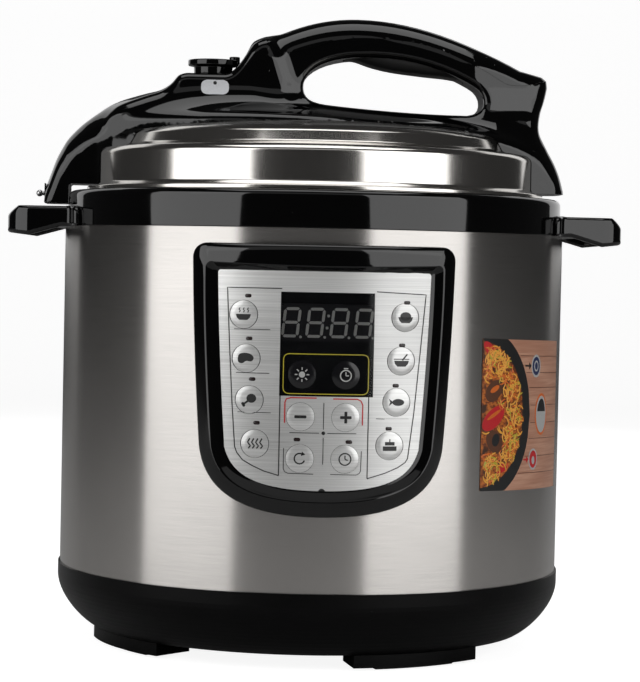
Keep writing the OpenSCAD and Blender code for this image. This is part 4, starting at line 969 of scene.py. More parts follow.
# Printed lines and shapes on the film, a hair above it
def ribbon(points, width, closed=False):
    # a flat line of even width through (x, z) points
    points = [np.array(p, float) for p in points]
    count = len(points)
    verts, faces = [], []
    for i, p in enumerate(points):
        before = points[i - 1] if (closed or i) else p
        after = points[(i + 1) % count] if (closed or i < count - 1) else p
        direction = after - before
        direction = direction / (np.linalg.norm(direction) or 1)
        normal = np.array((-direction[1], direction[0])) * width / 2
        verts += [tuple(p + normal), tuple(p - normal)]
    for i in range(count if closed else count - 1):
        j = (i + 1) % count
        faces.append((2 * i, 2 * i + 1, 2 * j + 1, 2 * j))
    return verts, faces


def ringPoints(centre, radius, steps, squash=1.0):
    turns = [2 * math.pi * i / steps for i in range(steps)]
    return [(centre[0] + radius * math.cos(a), centre[1] + radius * squash * math.sin(a)) for a in turns]


def discShape(centre, radius, steps=20, squash=1.0):
    return ringPoints(centre, radius, steps, squash), [tuple(range(steps))]


def box(left, low, right, high):
    return [(left, low), (right, low), (right, high), (left, high)]


def centredBox(sizes):
    halfWidth, halfHeight = sizes["width"] / 2, sizes["height"] / 2
    return box(-halfWidth, -halfHeight, halfWidth, halfHeight)


def blobShape(points):
    return list(points), [tuple(range(len(points)))]


def arcPoints(centre, radius, start, end, steps=12):
    turns = [math.radians(start + (end - start) * i / steps) for i in range(steps + 1)]
    return [(centre[0] + radius * math.cos(a), centre[1] + radius * math.sin(a)) for a in turns]


def dense(points, step=2.5):
    result = []
    for a, b in zip(points[:-1], points[1:]):
        count = max(1, int(math.dist(a, b) / step))
        result.extend((a[0] + (b[0] - a[0]) * i / count, a[1] + (b[1] - a[1]) * i / count) for i in range(count))
    return result + [tuple(points[-1])]


def printPiece(name, shapes, radius, materials, thickness=0.14, place=onBody):
    # shapes: (verts2d, faces, material index); wraps them on the cylinder as thin closed plates
    verts, faces, slots = [], [], []
    for shapeVerts, shapeFaces, slot in shapes:
        count, start = len(shapeVerts), len(verts)
        verts += [place(x, z, radius + thickness) for x, z in shapeVerts]
        verts += [place(x, z, radius) for x, z in shapeVerts]
        edges = {}
        for face in shapeFaces:
            faces.append(tuple(start + i for i in face))
            faces.append(tuple(start + count + i for i in reversed(face)))
            slots += [slot, slot]
            for a, b in zip(face, face[1:] + face[:1]):
                edges[(a, b)] = True
        for a, b in edges:
            if (b, a) not in edges:
                faces.append((start + b, start + a, start + count + a, start + count + b))
                slots.append(slot)
    return makePiece(name, verts, faces, materials, slots, angle=30, recalc=True)


# The film, cut in upright strips so that it follows the body's curve, with an opening for the window
film = dict(keyHole=7.36, inset=13.6, thickness=0.5, windowLeft=-22.7, windowRight=25.5)
windowBottom, windowTop = span("display_window", 2)


def stripShape(xs, lowLine, highLine, holes=()):
    # upright strips between two lines; a hole is its two sides and its two lines
    verts, faces, known = [], [], {}

    def corner(x, z):
        key = (round(x, 4), round(z, 4))
        if key not in known:
            known[key] = len(verts)
            verts.append((x, z))
        return known[key]

    for x0, x1 in zip(xs[:-1], xs[1:]):
        levels = [(lowLine(x0), lowLine(x1))]
        for left, right, under, over in sorted(holes, key=lambda hole: hole[2]((hole[0] + hole[1]) / 2)):
            if x0 >= left - 1e-6 and x1 <= right + 1e-6:
                levels += [(under(x0), under(x1)), None, (over(x0), over(x1))]
        levels.append((highLine(x0), highLine(x1)))
        for below, above in zip(levels[:-1], levels[1:]):
            if below is None or above is None:
                continue
            quad = [corner(x0, below[0]), corner(x1, below[1]), corner(x1, above[1]), corner(x0, above[0])]
            quad = [v for k, v in enumerate(quad) if v != quad[k - 1]]
            if len(quad) > 2:
                faces.append(tuple(quad))
    return verts, faces


filmHalf = panelHalfOutline(film["inset"])
filmSide = max(range(len(filmHalf)), key=lambda i: filmHalf[i][0])
filmLow = filmHalf[:filmSide + 1]
filmHigh = [(0, panelTop - film["inset"])] + filmHalf[:filmSide - 1:-1]


def heightOn(line):
    return lambda x: float(np.interp(abs(x), [p[0] for p in line], [p[1] for p in line]))


filmRight = sorted({round(p[0], 3) for p in filmHalf} | {float(v) for v in range(0, 54, 2)})
windowEdges = {film["windowLeft"], film["windowRight"]}
filmXs = sorted({-x for x in filmRight} | set(filmRight) | windowEdges)
filmXs = [x for x in filmXs if x in windowEdges or all(abs(x - e) > 0.2 for e in windowEdges)]
filmHoles = [(film["windowLeft"], film["windowRight"], lambda x: windowBottom, lambda x: windowTop)]


def roundHole(holeX, holeZ, radius):
    def edge(sign):
        return lambda x: holeZ + sign * math.sqrt(max(radius * radius - (x - holeX) ** 2, 0))
    return (holeX - radius, holeX + radius, edge(-1), edge(1))


def keyPlace(kind):
    # its angle round the body and its height
    low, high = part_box("button_" + kind)
    middle = (low + high) * 500
    return math.atan2(middle.x, -middle.y), middle.z


keyKinds = [name.replace("button_", "") for name in nodes if name.startswith("button_")]
darkKinds = ("keep_warm", "delay")
# the film is open around each key, so a pressed key doesn't dip into it
for kind in [k for k in keyKinds if k not in darkKinds]:
    angle, keyZ = keyPlace(kind)
    keyX = filmRadius * math.sin(angle)
    filmHoles.append(roundHole(keyX, keyZ, film["keyHole"]))
    filmXs += [keyX + film["keyHole"] * math.sin(math.pi * (i / 16 - 0.5)) for i in range(17)]
filmXs = sorted(filmXs)
filmShape = stripShape(filmXs, heightOn(filmLow), heightOn(filmHigh), filmHoles)
lineWidth = 0.5


def panelPoint(gridX, gridY):
    # a point of the panel's layout grid, in millimetres
    return ((gridX - 775) * 0.0943, panelBottom + 0.2 + (1565 - gridY) * 0.0943)


def layoutLine(points, step=2.5):
    return dense([panelPoint(*p) for p in points], step)


# lines on the layout grid, then their width
thinLine = 0.34
inkLines = [
    ([(540, 325), (245, 325), (262, 640), (281, 950), (300, 1190), (312, 1222), (345, 1262), (400, 1292), (460, 1318),
      (540, 1340)], lineWidth),
    ([(540, 905), (540, 1340)], lineWidth),
    ([(1055, 333), (1330, 345), (1305, 640), (1275, 990), (1245, 1240), (1232, 1262), (1190, 1290), (1120, 1320),
      (1022, 1350)], lineWidth),
    ([(1022, 905), (1022, 1350)], lineWidth), ([(285, 550), (480, 550)], thinLine),
    ([(300, 787), (480, 787)], thinLine), ([(312, 1001), (492, 1001)], thinLine),
    ([(1065, 1023), (1112, 1024)], thinLine), ([(1115, 1023), (1245, 1023)], 0.12),
    ([(778, 940), (778, 1085)], thinLine), ([(778, 1130), (778, 1275)], thinLine),
    ([(595, 1105), (755, 1105)], thinLine), ([(800, 1105), (958, 1105)], thinLine),
    ([(565, 1190), (565, 1300), (572, 1318), (590, 1326), (728, 1328)], thinLine),
    ([(988, 1200), (985, 1310), (978, 1322), (962, 1330), (820, 1328)], thinLine)]
redLines = [[(567, 1053), (567, 940), (575, 922), (600, 915), (738, 915)],
            [(828, 918), (960, 918), (980, 928), (990, 950), (990, 1060)]]
filmPrint = [(*ribbon(layoutLine(points), width), 0) for points, width in inkLines]
filmPrint.append((*discShape(panelPoint(778, 1105), 0.95), 0))
filmPrint += [(*ribbon(layoutLine(points, 1.5), 0.6), 1) for points in redLines]
notch = arcPoints((0, panelBottom + film["inset"] - 0.4), 1.9, 0, 180, 10)
filmPrint.append((*blobShape(notch), 0))
filmPrintPiece = printPiece("filmPrint", filmPrint, filmRadius, [skins["blackInk"], skins["redInk"]])
finishPiece(filmPrintPiece, "root", "film")

filmPiece = printPiece("keypadFilm", [(*filmShape, 0)], filmRadius - film["thickness"], [skins["film"]],
                       film["thickness"])
finishPiece(filmPiece, "root", "film", "panel_overlay")

# Dark window: smoked plate, yellow outline round its two keys
windowXs = np.linspace(film["windowLeft"] + 0.05, film["windowRight"] - 0.05, 25).tolist()
windowShape = stripShape(windowXs, lambda x: windowBottom + 0.05, lambda x: windowTop - 0.05)
windowPiece = printPiece("smokedWindow", [(*windowShape, 0)], filmRadius - 1.0, [skins["smokedWindow"]], 0.95)
finishPiece(windowPiece, "root", "dark_window", "display_window")
yellowBox = roundCorners([panelPoint(*p) for p in ((555, 893), (1018, 893), (1018, 677), (555, 677))], 3.2, 6)
yellowRing = dense(yellowBox + [yellowBox[0]], 2.5)[:-1]
windowPrint = printPiece("windowPrint", [(*ribbon(yellowRing, 0.45, closed=True), 0)], filmRadius,
                         [skins["yellowInk"]])
finishPiece(windowPrint, "root", "film")

# Four seven-segment digits on the display module
display = dict(width=9.0, height=15.4, slant=0.11, stroke=1.45, gap=0.28, places=(-17.1, -4.7, 7.7, 20.1))
moduleFront = -span("display_module", 1)[0]


def segmentShape(ax, az, bx, bz, stroke):
    a, b = np.array((ax, az), float), np.array((bx, bz), float)
    along = (b - a) / np.linalg.norm(b - a)
    side = np.array((-along[1], along[0])) * stroke / 2
    tip = along * stroke / 2
    return [tuple(v) for v in (a, a + tip + side, b - tip + side, b, b - tip - side, a + tip - side)]


digitShapes = []
digitLevel = sum(span("display_module", 2)) / 2
for digitX in display["places"]:
    w, h, g = display["width"] - display["stroke"], display["height"] - display["stroke"], display["gap"]
    corners = {"a": ((0, h), (w, h)), "g": ((0, h / 2), (w, h / 2)), "d": ((0, 0), (w, 0)), "f": ((0, h / 2), (0, h)),
               "b": ((w, h / 2), (w, h)), "e": ((0, 0), (0, h / 2)), "c": ((w, 0), (w, h / 2))}
    for (x0, z0), (x1, z1) in corners.values():
        dx, dz = (g, 0) if z0 == z1 else (0, g)
        shape = segmentShape(x0 + dx, z0 + dz, x1 - dx, z1 - dz, display["stroke"])
        slanted = [(x - w / 2 + digitX + (z - h / 2) * display["slant"], z - h / 2 + digitLevel) for x, z in shape]
        digitShapes.append((*blobShape(slanted), 0))
    digitShapes.append((*discShape((digitX + 4.9, digitLevel - 7.4), 0.7, 12), 0))
for dotX, dotZ in ((2.6, 3.6), (1.9, -2.6)):
    digitShapes.append((*discShape((dotX - 0.6, digitLevel + dotZ), 0.75, 12), 0))


def plateSides(shapeFaces, count):
    # front, back and edge of each face, for points listed once at the front and once at the back
    faces = []
    for face in shapeFaces:
        faces += [tuple(face), tuple(count + i for i in reversed(face))]
        faces += [(b, a, count + a, count + b) for a, b in zip(face, face[1:] + face[:1])]
    return faces


digitParts = [([(x, y, z) for y in (-moduleFront - 0.1, -moduleFront) for x, z in outline],
               plateSides(outlineFaces, len(outline)), slot) for outline, outlineFaces, slot in digitShapes]
verts, faces, slots = joinParts(digitParts)
digitPiece = makePiece("displayDigits", verts, faces, [skins["digitInk"]], slots, angle=30, recalc=True)
finishPiece(digitPiece, "root", "display_body")
print("panel made")

# Round keys: shallow domes of film, each with a simple picture instead of words


def keyPicture(kind):
    # strokes and blobs in a box about 9 wide and 7 high, centred on the key
    def bar(points, width=0.55):
        return ribbon(dense(points, 0.8), width)

    bowl = blobShape([(-3.6, 0.2), (3.6, 0.2), (3.1, -1.4), (1.9, -2.5), (-1.9, -2.5), (-3.1, -1.4)])
    steamLines = [bar([(x, 1.0), (x + 0.5, 1.7), (x - 0.1, 2.4), (x + 0.4, 3.1)], 0.5) for x in (-2, 0, 2)]
    pictures = {
        "soup": [bowl] + steamLines,
        "meat": [blobShape(smoothLine([(-3.8, 0), (-3.2, 1.8), (-0.6, 2.5), (2.4, 1.9), (3.7, 0.2), (2.6, -1.4),
                                       (0.2, -1.2), (-1.6, -2.3), (-3.5, -1.8), (-3.8, 0)], 3)[:-1])],
        "chicken": [discShape((1.1, 0.7), 2.3, 20, 0.9), bar([(-0.4, -0.5), (-2.6, -2.1)], 0.9),
                    discShape((-2.9, -1.8), 0.7, 12), discShape((-2.4, -2.6), 0.7, 12)],
        "steam": [bar([(x, -2.2), (x + 0.9, -1), (x - 0.4, 0.6), (x + 0.6, 2.4)], 0.65) for x in (-2.8, -0.9, 1, 2.9)],
        "rice": [bowl, discShape((0, 0.5), 2.7, 20, 0.75)],
        "porridge": [bowl, bar([(0.4, 0.4), (2.8, 3.2)], 0.7), bar([(-3.8, 0.9), (3.8, 0.9)], 0.4)],
        "fish": [discShape((0.7, 0), 2.9, 24, 0.55), blobShape([(-1.6, 0), (-3.8, 1.7), (-3.2, 0), (-3.8, -1.7)])],
        "cake": [blobShape(box(-3.3, -2.3, 3.3, -0.2)), blobShape(box(-2.3, 0.2, 2.3, 1.8)),
                 bar([(0, 1.8), (0, 3.1)], 0.5)],
        "reheat": [ribbon(arcPoints((0, 0), 2.4, 60, 340), 0.65), blobShape([(1.1, 3.2), (2.6, 1.9), (0.6, 1.2)])],
        "slow_cook": [ribbon(ringPoints((0, 0), 2.7, 24), 0.6, closed=True), bar([(0, 0), (0, 1.7)]),
                      bar([(0, 0), (1.3, -0.5)])],
        "minus": [blobShape(roundCorners(box(-3.1, -0.75, 3.1, 0.75), 0.5, 3))],
        "plus": [blobShape(roundCorners(box(-3, -0.75, 3, 0.75), 0.5, 3)),
                 blobShape(roundCorners(box(-0.75, 0.7, 0.75, 3), 0.35, 3)),
                 blobShape(roundCorners(box(-0.75, -3, 0.75, -0.7), 0.35, 3))],
        "keep_warm": [discShape((0, 0), 1.4, 18)] + [bar(ends, 0.5) for ends in zip(ringPoints((0, 0), 2.1, 8),
                                                                                    ringPoints((0, 0), 3.3, 8))],
        "delay": [ribbon(ringPoints((0, -0.2), 2.5, 24), 0.55, closed=True), bar([(0, -0.2), (0, 1.4)], 0.5),
                  bar([(0, -0.2), (1.4, -0.2)], 0.5), bar([(-1, 3.1), (1, 3.1)], 0.5)],
    }
    return pictures[kind]


keys = dict(radius=7.2, rise=0.62, under=0.5, steps=48)
for kind in keyKinds:
    angle, keyZ = keyPlace(kind)
    dark = kind in darkKinds
    r = keys["radius"]
    profile = [(0, -keys["under"]), (r - 0.2, -keys["under"]), (r, -keys["under"] + 0.2), (r, 0.02), (r - 0.5, 0.14),
               (r - 1.2, 0.34), (r - 2.0, 0.5), (r - 2.8, 0.58), (0, keys["rise"])]
    parts = [latheParts(profile, keys["steps"], closed=False)]
    pictureScale = 1.0 if kind in ("minus", "plus") else 1.12
    for shapeVerts, shapeFaces in keyPicture(kind):
        count = len(shapeVerts)
        scaled = [(x * pictureScale, z * pictureScale) for x, z in shapeVerts]
        plate = [(x, z, keys["rise"] + 0.04) for x, z in scaled] + [(x, z, keys["rise"] - 0.15) for x, z in scaled]
        parts.append((plate, plateSides(shapeFaces, count), 1))
    verts, faces, slots = joinParts(parts)
    sine, cosine = math.sin(angle), math.cos(angle)
    placed = [((filmRadius + out) * sine + x * cosine, -(filmRadius + out) * cosine + x * sine, keyZ + z)
              for x, z, out in verts]
    keySkins = ("darkKey", "paleInk") if dark else ("keyFilm", "blackInk")
    keyPiece = makePiece("key_" + kind, placed, faces, [skins[skin] for skin in keySkins], slots, angle=35, recalc=True)
    finishPiece(keyPiece, "key_" + kind, "display_body" if dark else "film", "button_" + kind)
print("keys made")

# Things that repeat are placed by Geometry Nodes: one shape on many points


def scatterTree():
    tree = bpy.data.node_groups.new("scatterShape", "GeometryNodeTree")
    for label, kind in (("Geometry", "Geometry"), ("Shape", "Object"), ("Size", "Float"), ("Finish", "Material")):
        tree.interface.new_socket(label, in_out="INPUT", socket_type="NodeSocket" + kind)
    tree.interface.new_socket("Geometry", in_out="OUTPUT", socket_type="NodeSocketGeometry")
    start, end = tree.nodes.new("NodeGroupInput"), tree.nodes.new("NodeGroupOutput")
    shape = tree.nodes.new("GeometryNodeObjectInfo")
    place = tree.nodes.new("GeometryNodeInstanceOnPoints")
    turn = tree.nodes.new("GeometryNodeInputNamedAttribute")
    turn.data_type = "FLOAT_VECTOR"
    turn.inputs["Name"].default_value = "turn"
    real = tree.nodes.new("GeometryNodeRealizeInstances")
    paint = tree.nodes.new("GeometryNodeSetMaterial")
    link(tree, start.outputs["Shape"], shape.inputs["Object"])
    link(tree, start.outputs["Geometry"], place.inputs["Points"])
    link(tree, shape.outputs["Geometry"], place.inputs["Instance"])
    link(tree, turn.outputs["Attribute"], place.inputs["Rotation"])
    link(tree, start.outputs["Size"], place.inputs["Scale"])
    link(tree, place.outputs["Instances"], real.inputs["Geometry"])
    link(tree, real.outputs["Geometry"], paint.inputs["Geometry"])
    link(tree, start.outputs["Finish"], paint.inputs["Material"])
    link(tree, paint.outputs["Geometry"], end.inputs["Geometry"])
    return tree


placeMany = scatterTree()
placeInputs = {item.name: item.identifier for item in placeMany.interface.items_tree if item.in_out == "INPUT"}


def scatterPiece(name, shape, spots, material):
    # spots: (x, y, z) in millimetres and a turn in radians; shape is an object, removed by the caller
    points = bpy.data.meshes.new(name + "Points")
    points.from_pydata([tuple(v * 0.001 for v in place) for place, _ in spots], [], [])
    turns = points.attributes.new("turn", "FLOAT_VECTOR", "POINT")
    turns.data.foreach_set("vector", [v for _, turn in spots for v in turn])
    holder = bpy.data.objects.new(name + "Points", points)
    scene.collection.objects.link(holder)
    modifier = holder.modifiers.new("place", "NODES")
    modifier.node_group = placeMany
    modifier[placeInputs["Shape"]] = shape
    modifier[placeInputs["Size"]] = 1.0
    modifier[placeInputs["Finish"]] = material
    graph = bpy.context.evaluated_depsgraph_get()
    mesh = bpy.data.meshes.new_from_object(holder.evaluated_get(graph), depsgraph=graph)
    mesh.name = name
    mesh.set_sharp_from_angle(angle=math.radians(35))
    piece = bpy.data.objects.new(name, mesh)
    scene.collection.objects.link(piece)
    bpy.data.objects.remove(holder)
    return piece


def facingOut(angle, spin=0.0):
    # a shape whose front is -Y, turned to face out of the body at this angle
    return (Matrix.Rotation(angle, 3, "Z") @ Matrix.Rotation(spin, 3, "Y")).to_euler()


# Indicator lamps: small pills above the keys
lamps = dict(width=3.4, height=1.9, rise=0.22)
pillOutline = roundCorners(centredBox(lamps), 0.92, 5)


def pillShape():
    count = len(pillOutline)
    rows = [(1.0, 0.3), (1.0, -lamps["rise"] * 0.5), (0.82, -lamps["rise"])]
    verts = [(x * scale, y, z * scale) for scale, y in rows for x, z in pillOutline]
    verts += [(0, 0.3, 0), (0, -lamps["rise"], 0)]
    faces = []
    for level in range(2):
        for i in range(count):
            j = (i + 1) % count
            faces.append((level * count + i, level * count + j, (level + 1) * count + j, (level + 1) * count + i))
    for i in range(count):
        j = (i + 1) % count
        faces += [(3 * count, j, i), (3 * count + 1, 2 * count + i, 2 * count + j)]
    return makePiece("pillShape", verts, faces, [skins["lens"]], recalc=True)


lampGrid = [(358, 368), (367, 600), (388, 820), (416, 1057), (1224, 390), (1201, 622), (1170, 842), (1136, 1077),
            (636, 1142), (918, 1151)]
lampSpots = []
for x, z in [panelPoint(*spot) for spot in lampGrid]:
    lampSpots.append((onBody(x, z, filmRadius), facingOut(math.asin(x / filmRadius))))
pill = pillShape()
lampPiece = scatterPiece("indicatorLamps", pill, lampSpots, skins["lens"])
finishPiece(lampPiece, "root", "light_lens", "indicator_lights")
bpy.data.objects.remove(pill)

# Printed sticker on the right of the body: a pan of food on planks, round icons, no words
sticker = dict(left=37.2, right=72.0, low=95.0, high=175.5, tilt=-0.03, panX=-4.0, panZ=135.5, panOuter=46.5,
               panInner=39.0, plankGaps=(104, 113, 122.5, 131, 140.5, 150, 158, 167), seed=7)
strandCounts = {"goldInk": 190, "orangeInk": 95, "yellowInk": 47}
stickerRadius = bodyRadius + 0.12


def onSticker(s, z, radius):
    a = math.radians(sticker["left"]) + s / bodyRadius
    return (radius * math.sin(a), -radius * math.cos(a), z + s * sticker["tilt"])


stickerWidth = math.radians(sticker["right"] - sticker["left"]) * bodyRadius


def chordLine(radius, sign, edge):
    def line(x):
        reach = radius * radius - (x - sticker["panX"]) ** 2
        z = sticker["panZ"] + sign * math.sqrt(max(reach, 0))
        return min(z, edge) if sign > 0 else max(z, edge)
    return line


def panShape(radius):
    limit = sticker["panX"] + radius
    xs = [limit * i / 24 for i in range(25)]
    return stripShape(xs, chordLine(radius, -1, sticker["low"]), chordLine(radius, 1, sticker["high"]))


def oval(x, z, halfWidth, halfHeight, slope=0.0, steps=14, base=None):
    # narrow strips, so that a wide spot follows the round body; base cuts it off level
    xs = [x + halfWidth * math.sin(math.pi * (i / steps - 0.5)) for i in range(steps + 1)]

    def edge(sign):
        return lambda v: (z + slope * (v - x)
                          + sign * halfHeight * math.sqrt(max(1 - ((v - x) / halfWidth) ** 2, 0.0004)))
    if base is None:
        return stripShape(xs, edge(-1), edge(1))
    xs = [v for v in xs if edge(1)(v) > base + 0.3]
    return stripShape(xs, lambda v: max(base, edge(-1)(v)), edge(1))


def plankGap(z):
    start = sticker["panX"] + math.sqrt(sticker["panOuter"] ** 2 - (z - sticker["panZ"]) ** 2) + 1
    return ribbon(dense([(start, z), (stickerWidth, z)], 3), 0.35)


def arrow(z, shaftEnd, tip):
    head = blobShape([(shaftEnd - 0.4, z - 2), (tip, z), (shaftEnd - 0.4, z + 2)])
    return ribbon(dense([(36.5, z), (shaftEnd, z)], 1), 0.9), head


sheetXs = [stickerWidth * i / 40 for i in range(41)]
sheetShape = stripShape(sheetXs, lambda x: sticker["low"], lambda x: sticker["high"])
# each layer's shapes with their ink, from the sheet outward
stickerLayers = [
    [("woodPrint", sheetShape)],
    [("blackInk", panShape(sticker["panOuter"]))]
    + [("brownInk", plankGap(z)) for z in sticker["plankGaps"]]
    + [("orangeInk", oval(57, 135.5, 8.4, 11.4)), ("paleInk", oval(49, 161.6, 5.6, 6.2)),
       ("paleInk", oval(47.5, 111.2, 5.4, 5.8))],
    [("foodPrint", panShape(sticker["panInner"])), ("paleInk", oval(57, 135.5, 7.0, 10.0)),
     ("navyInk", oval(49, 161.6, 4.5, 5.0)), ("redInk", oval(47.5, 111.2, 4.3, 4.7))]
    + [("blackInk", shape) for shape in arrow(161.6, 41, 43.2)] + [("redInk", shape) for shape in arrow(111.2, 40, 42)],
    [("redInk", oval(9.0, 133.5, 8.6, 5.6, 0.45)), ("brownInk", oval(10, 121, 6.4, 6, -0.3)),
     ("brownInk", oval(9, 148, 6.6, 5.6, 0.3)), ("redInk", oval(5, 170, 4.6, 3.4, -0.5)),
     ("redInk", oval(17, 107, 5.2, 2.2, 0.3)), ("blackInk", oval(57, 135.5, 5.6, 8.4, base=137.0)),
     ("paleInk", oval(49, 161.6, 2.6, 3.0)), ("paleInk", oval(47.5, 110.6, 1.7, 2.2))],
    [("navyInk", oval(49, 161.6, 1.7, 2.1)), ("blackInk", oval(11, 122, 3.0, 3.4, 0.2)),
     ("orangeInk", oval(9.5, 149, 3.4, 1.6, 0.4)), ("orangeInk", oval(9.4, 135.4, 5.4, 1.1, 0.5))]]
stickerInks = ["woodPrint", "blackInk", "foodPrint", "redInk", "brownInk", "paleInk", "navyInk", "goldInk", "orangeInk"]
for depth, layer in enumerate(stickerLayers):
    shapes = [(*shape, stickerInks.index(ink)) for ink, shape in layer]
    layerPiece = printPiece("stickerLayer%d" % depth, shapes, stickerRadius + 0.04 * depth,
                            [skins[ink] for ink in stickerInks], 0.14, onSticker)
    finishPiece(layerPiece, "root", "sticker", *(["body_sticker"] if depth == 0 else []))


def strandShape():
    # a short bent strand, flat at the back
    verts, faces = [], []
    path = arcPoints((0, -3.2), 4.4, 52, 128, 5)
    for i, (x, z) in enumerate(path):
        thin = 0.28 if i in (0, len(path) - 1) else 0.5
        angle = math.radians(52 + 76 * i / 5)
        for across, out in ((-thin, 0.06), (-thin * 0.5, -0.1), (thin * 0.5, -0.1), (thin, 0.06)):
            verts.append((x + across * math.cos(angle), out, z + across * math.sin(angle)))
    for i in range(len(path) - 1):
        for k in range(4):
            n = (k + 1) % 4
            faces.append((4 * i + k, 4 * i + n, 4 * i + 4 + n, 4 * i + 4 + k))
    last = 4 * (len(path) - 1)
    faces += [(3, 2, 1, 0), (last, last + 1, last + 2, last + 3)]
    return makePiece("strandShape", verts, faces, [skins["goldInk"]], angle=60, recalc=True)


strand = strandShape()
chance = random.Random(sticker["seed"])
for ink, wanted in strandCounts.items():
    spots = []
    while len(spots) < wanted:
        x, z = chance.uniform(3.2, 34), chance.uniform(sticker["low"] + 3.2, sticker["high"] - 3.2)
        reach = math.hypot(x - sticker["panX"], z - sticker["panZ"])
        onMeat = min(math.hypot((x - 9) / 10, (z - 134) / 8), math.hypot((x - 10) / 8, (z - 121) / 7.5),
                     math.hypot((x - 9) / 8.5, (z - 148) / 7.5)) < 1
        if reach > sticker["panInner"] - 1.5 or onMeat:
            continue
        place = onSticker(x, z, stickerRadius + 0.22 + 0.02 * chance.random())
        spots.append((place, facingOut(math.radians(sticker["left"]) + x / bodyRadius, chance.uniform(0, math.tau))))
    finishPiece(scatterPiece("strands" + ink[0].upper() + ink[1:-3], strand, spots, skins[ink]), "root", "sticker")
bpy.data.objects.remove(strand)
print("lamps and sticker made")

# Steam valve knob: neck, rim with a rounded lip, raised pointer
knob = dict(neck=10.75, rim=14.2, pointer=3.0)
knobBottom, knobTop = span("valve_knob", 2)
knobBase = platformTop + 0.3
knobProfile = [(0, knobBottom)] + roundCorners([
    (6, knobBottom), (6, knobBase), (knob["neck"], knobBase), (knob["neck"] + 0.2, knobBase + 4.4),
    (knob["rim"], knobBase + 4.9), (knob["rim"], knobBase + 8.2), (12.6, knobBase + 8.2),
    (12.2, knobBase + 7.4), (3.2, knobBase + 7.4)],
    [0.3, 0.3, 0.6, 0.8, 0.7, 0.9, 0.5, 0.5, 0.4], 4, closed=False) + [(0, knobBase + 7.4)]
pointerCentre = (knobX + knob["rim"] - 2.2, 0)
pointerSide = [(knob["pointer"], knobBase + 5.5), (knob["pointer"], knobTop), (1.6, knobTop - 0.05)]
pointerSide = roundCorners(pointerSide, [0, 0.7, 0.2], 4, closed=False)
pointerProfile = [(0, knobBase + 5.5)] + pointerSide + [(0, knobTop - 0.2)]
verts, faces, slots = joinParts([latheParts(knobProfile, 96, (knobX, 0), closed=False),
                                 latheParts(pointerProfile, 40, pointerCentre, closed=False)])
knobPiece = makePiece("steamKnob", verts, faces, [skins["glossBlack"]], angle=35, recalc=True)
finishPiece(knobPiece, "knob", "gloss_black_plastic", "valve_knob")

# Small silver label on the pod's front, laid onto the surface
label = dict(width=15.6, height=8.2, x=-58.0, z=310.2)
labelOutline = roundCorners(centredBox(label), 4.0, 8)


def layOnCover(points, lift):
    placed = np.array([(label["x"] + x, -22.0, label["z"] + z) for x, z in points])
    for _ in range(12):  # walk along Y only, so the outline keeps its shape from the front
        placed[:, 1] += np.clip(bridgeField(placed), -2, 2)
    placed[:, 1] -= lift
    return [tuple(p) for p in placed]


def gridDisc(outline, rings=5):
    points, faces = [(0.0, 0.0)], []
    count = len(outline)
    for k in range(1, rings + 1):
        points += [(x * k / rings, z * k / rings) for x, z in outline]
    for i in range(count):
        faces.append((0, 1 + i, 1 + (i + 1) % count))
    for k in range(rings - 1):
        a, b = 1 + k * count, 1 + (k + 1) * count
        faces += [(a + i, b + i, b + (i + 1) % count, a + (i + 1) % count) for i in range(count)]
    return points, faces


def coverPlate(points, faces, rimCount, front, back, slot):
    # a closed plate laid on the cover, its last rimCount points being its rim
    count, first = len(points), len(points) - rimCount
    rim = [(first + (i + 1) % rimCount, first + i, count + first + i, count + first + (i + 1) % rimCount)
           for i in range(rimCount)]
    turned = [tuple(count + i for i in reversed(face)) for face in faces]
    return layOnCover(points, front) + layOnCover(points, back), faces + turned + rim, slot


dotSteps, dotZ = 20, 2.4
dotPoints, dotFaces = gridDisc(ringPoints((0, dotZ), 1.0, dotSteps), 1)
dotPoints[0] = (0.0, dotZ)
labelParts = [coverPlate(*gridDisc(labelOutline), len(labelOutline), 0.25, -0.4, 0),
              coverPlate(dotPoints, dotFaces, dotSteps, 0.32, 0.1, 1)]
verts, faces, slots = joinParts(labelParts)
labelPiece = makePiece("valveLabel", verts, faces, [skins["labelSilver"], skins["blackInk"]], slots, angle=30)
finishPiece(labelPiece, "lid", "film")
print("valve made")

# Floor, backdrop, lights and camera
camera = dict(eye=(-0.06334, -1.39483, 0.213), ahead=(0.048669, 0.998318, -0.031521),
              across=(0.998624, -0.048018, 0.021098), lens=129.49, sensor=36)
cameraData = bpy.data.cameras.new("mainCamera")
cameraData.sensor_fit = "AUTO"
cameraData.sensor_width = camera["sensor"]
cameraData.lens = camera["lens"]
cameraData.clip_end = 50
cameraObject = bpy.data.objects.new("mainCamera", cameraData)
scene.collection.objects.link(cameraObject)
scene.camera = cameraObject
ahead, across = Vector(camera["ahead"]).normalized(), Vector(camera["across"])
across = (across - ahead * across.dot(ahead)).normalized()
over = across.cross(ahead)
cameraObject.matrix_world = Matrix.Translation(camera["eye"]) @ Matrix((across, over, -ahead)).transposed().to_4x4()


def stageMaterial(name, colour, glow):
    # the glow is seen by the camera only, so it doesn't light the object or show in its gloss
    material, tree, shader, place = startMaterial(name)
    cloud = noiseNode(tree, place, 4.0, 2.0)
    link(tree, mixColour(tree, cloud, colour, tuple(c * 0.985 for c in colour)), shader.inputs["Base Color"])
    shader.inputs["Roughness"].default_value = 0.9
    shader.inputs["Specular IOR Level"].default_value = 0.1
    seen = tree.nodes.new("ShaderNodeLightPath").outputs["Is Camera Ray"]
    shader.inputs["Emission Color"].default_value = (1, 1, 1, 1)
    link(tree, mathNode(tree, "MULTIPLY", seen, glow), shader.inputs["Emission Strength"])
    return material


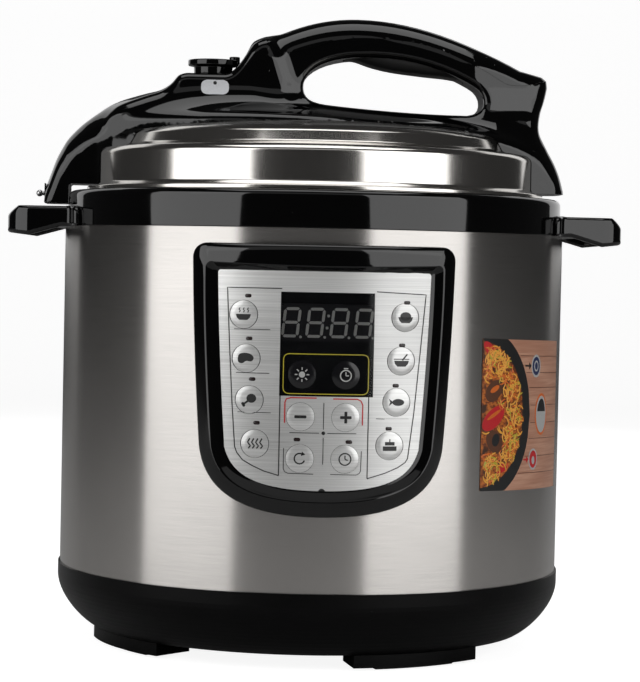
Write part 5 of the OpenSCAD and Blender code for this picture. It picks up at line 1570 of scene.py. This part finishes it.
stage = dict(front=-1.6, back=3.0, halfWidth=3.2, wallHeight=2.6, bend=0.7)
bendTurns = [math.pi / 2 * i / 12 for i in range(13)]
stageRows = [(stage["front"], 0.0)]
stageRows += [(stage["back"] - stage["bend"] + stage["bend"] * math.sin(a), stage["bend"] * (1 - math.cos(a)))
              for a in bendTurns] + [(stage["back"], stage["wallHeight"])]
stageVerts = [(s * stage["halfWidth"] * 1000, y * 1000, z * 1000) for y, z in stageRows for s in (-1, 1)]
stageFaces = [(2 * i, 2 * i + 1, 2 * i + 3, 2 * i + 2) for i in range(len(stageRows) - 1)]
floor = makePiece("studioSweep", stageVerts, stageFaces, [stageMaterial("studioWhite", (0.5, 0.5, 0.5), 0.9)])


def softBox(name, azimuth, distance, height, width, tall, power, aim=(0, 0, 0.2)):
    # azimuth in degrees from the front, positive to the right; sizes in metres, power in watts
    data = bpy.data.lights.new(name, "AREA")
    data.shape = "RECTANGLE"
    data.size, data.size_y = width, tall
    data.energy = power
    lamp = bpy.data.objects.new(name, data)
    a = math.radians(azimuth)
    lamp.location = (distance * math.sin(a), -distance * math.cos(a), height)
    lamp.rotation_euler = (Vector(aim) - lamp.location).to_track_quat("-Z", "Y").to_euler()
    scene.collection.objects.link(lamp)


softBox("leftBox", -56.5, 1.25, 0.42, 1.04, 1.1, 7.9)
softBox("rightBox", 44, 1.25, 0.42, 1.08, 1.1, 8.2)
softBox("topBox", 0, 0.25, 1.7, 1.5, 0.9, 9, aim=(0, -0.1, 0))
softBox("highCard", 0, 1.15, 1.0, 4.2, 0.36, 2.0)
softBox("backLeft", -150, 1.6, 0.8, 1.0, 1.2, 3)
softBox("backRight", 150, 1.6, 0.8, 1.0, 1.2, 3)
world = bpy.data.worlds.new("studioAir")
scene.world = world
world.use_nodes = True
airTree = world.node_tree
air = airTree.nodes["Background"]
air.inputs["Color"].default_value = (1, 1, 1, 1)
airSeen = airTree.nodes.new("ShaderNodeLightPath").outputs["Is Camera Ray"]
# faint as a light, but white to the camera
link(airTree, mathNode(airTree, "MULTIPLY_ADD", airSeen, 0.95, 0.03), air.inputs["Strength"])
print("stage made")
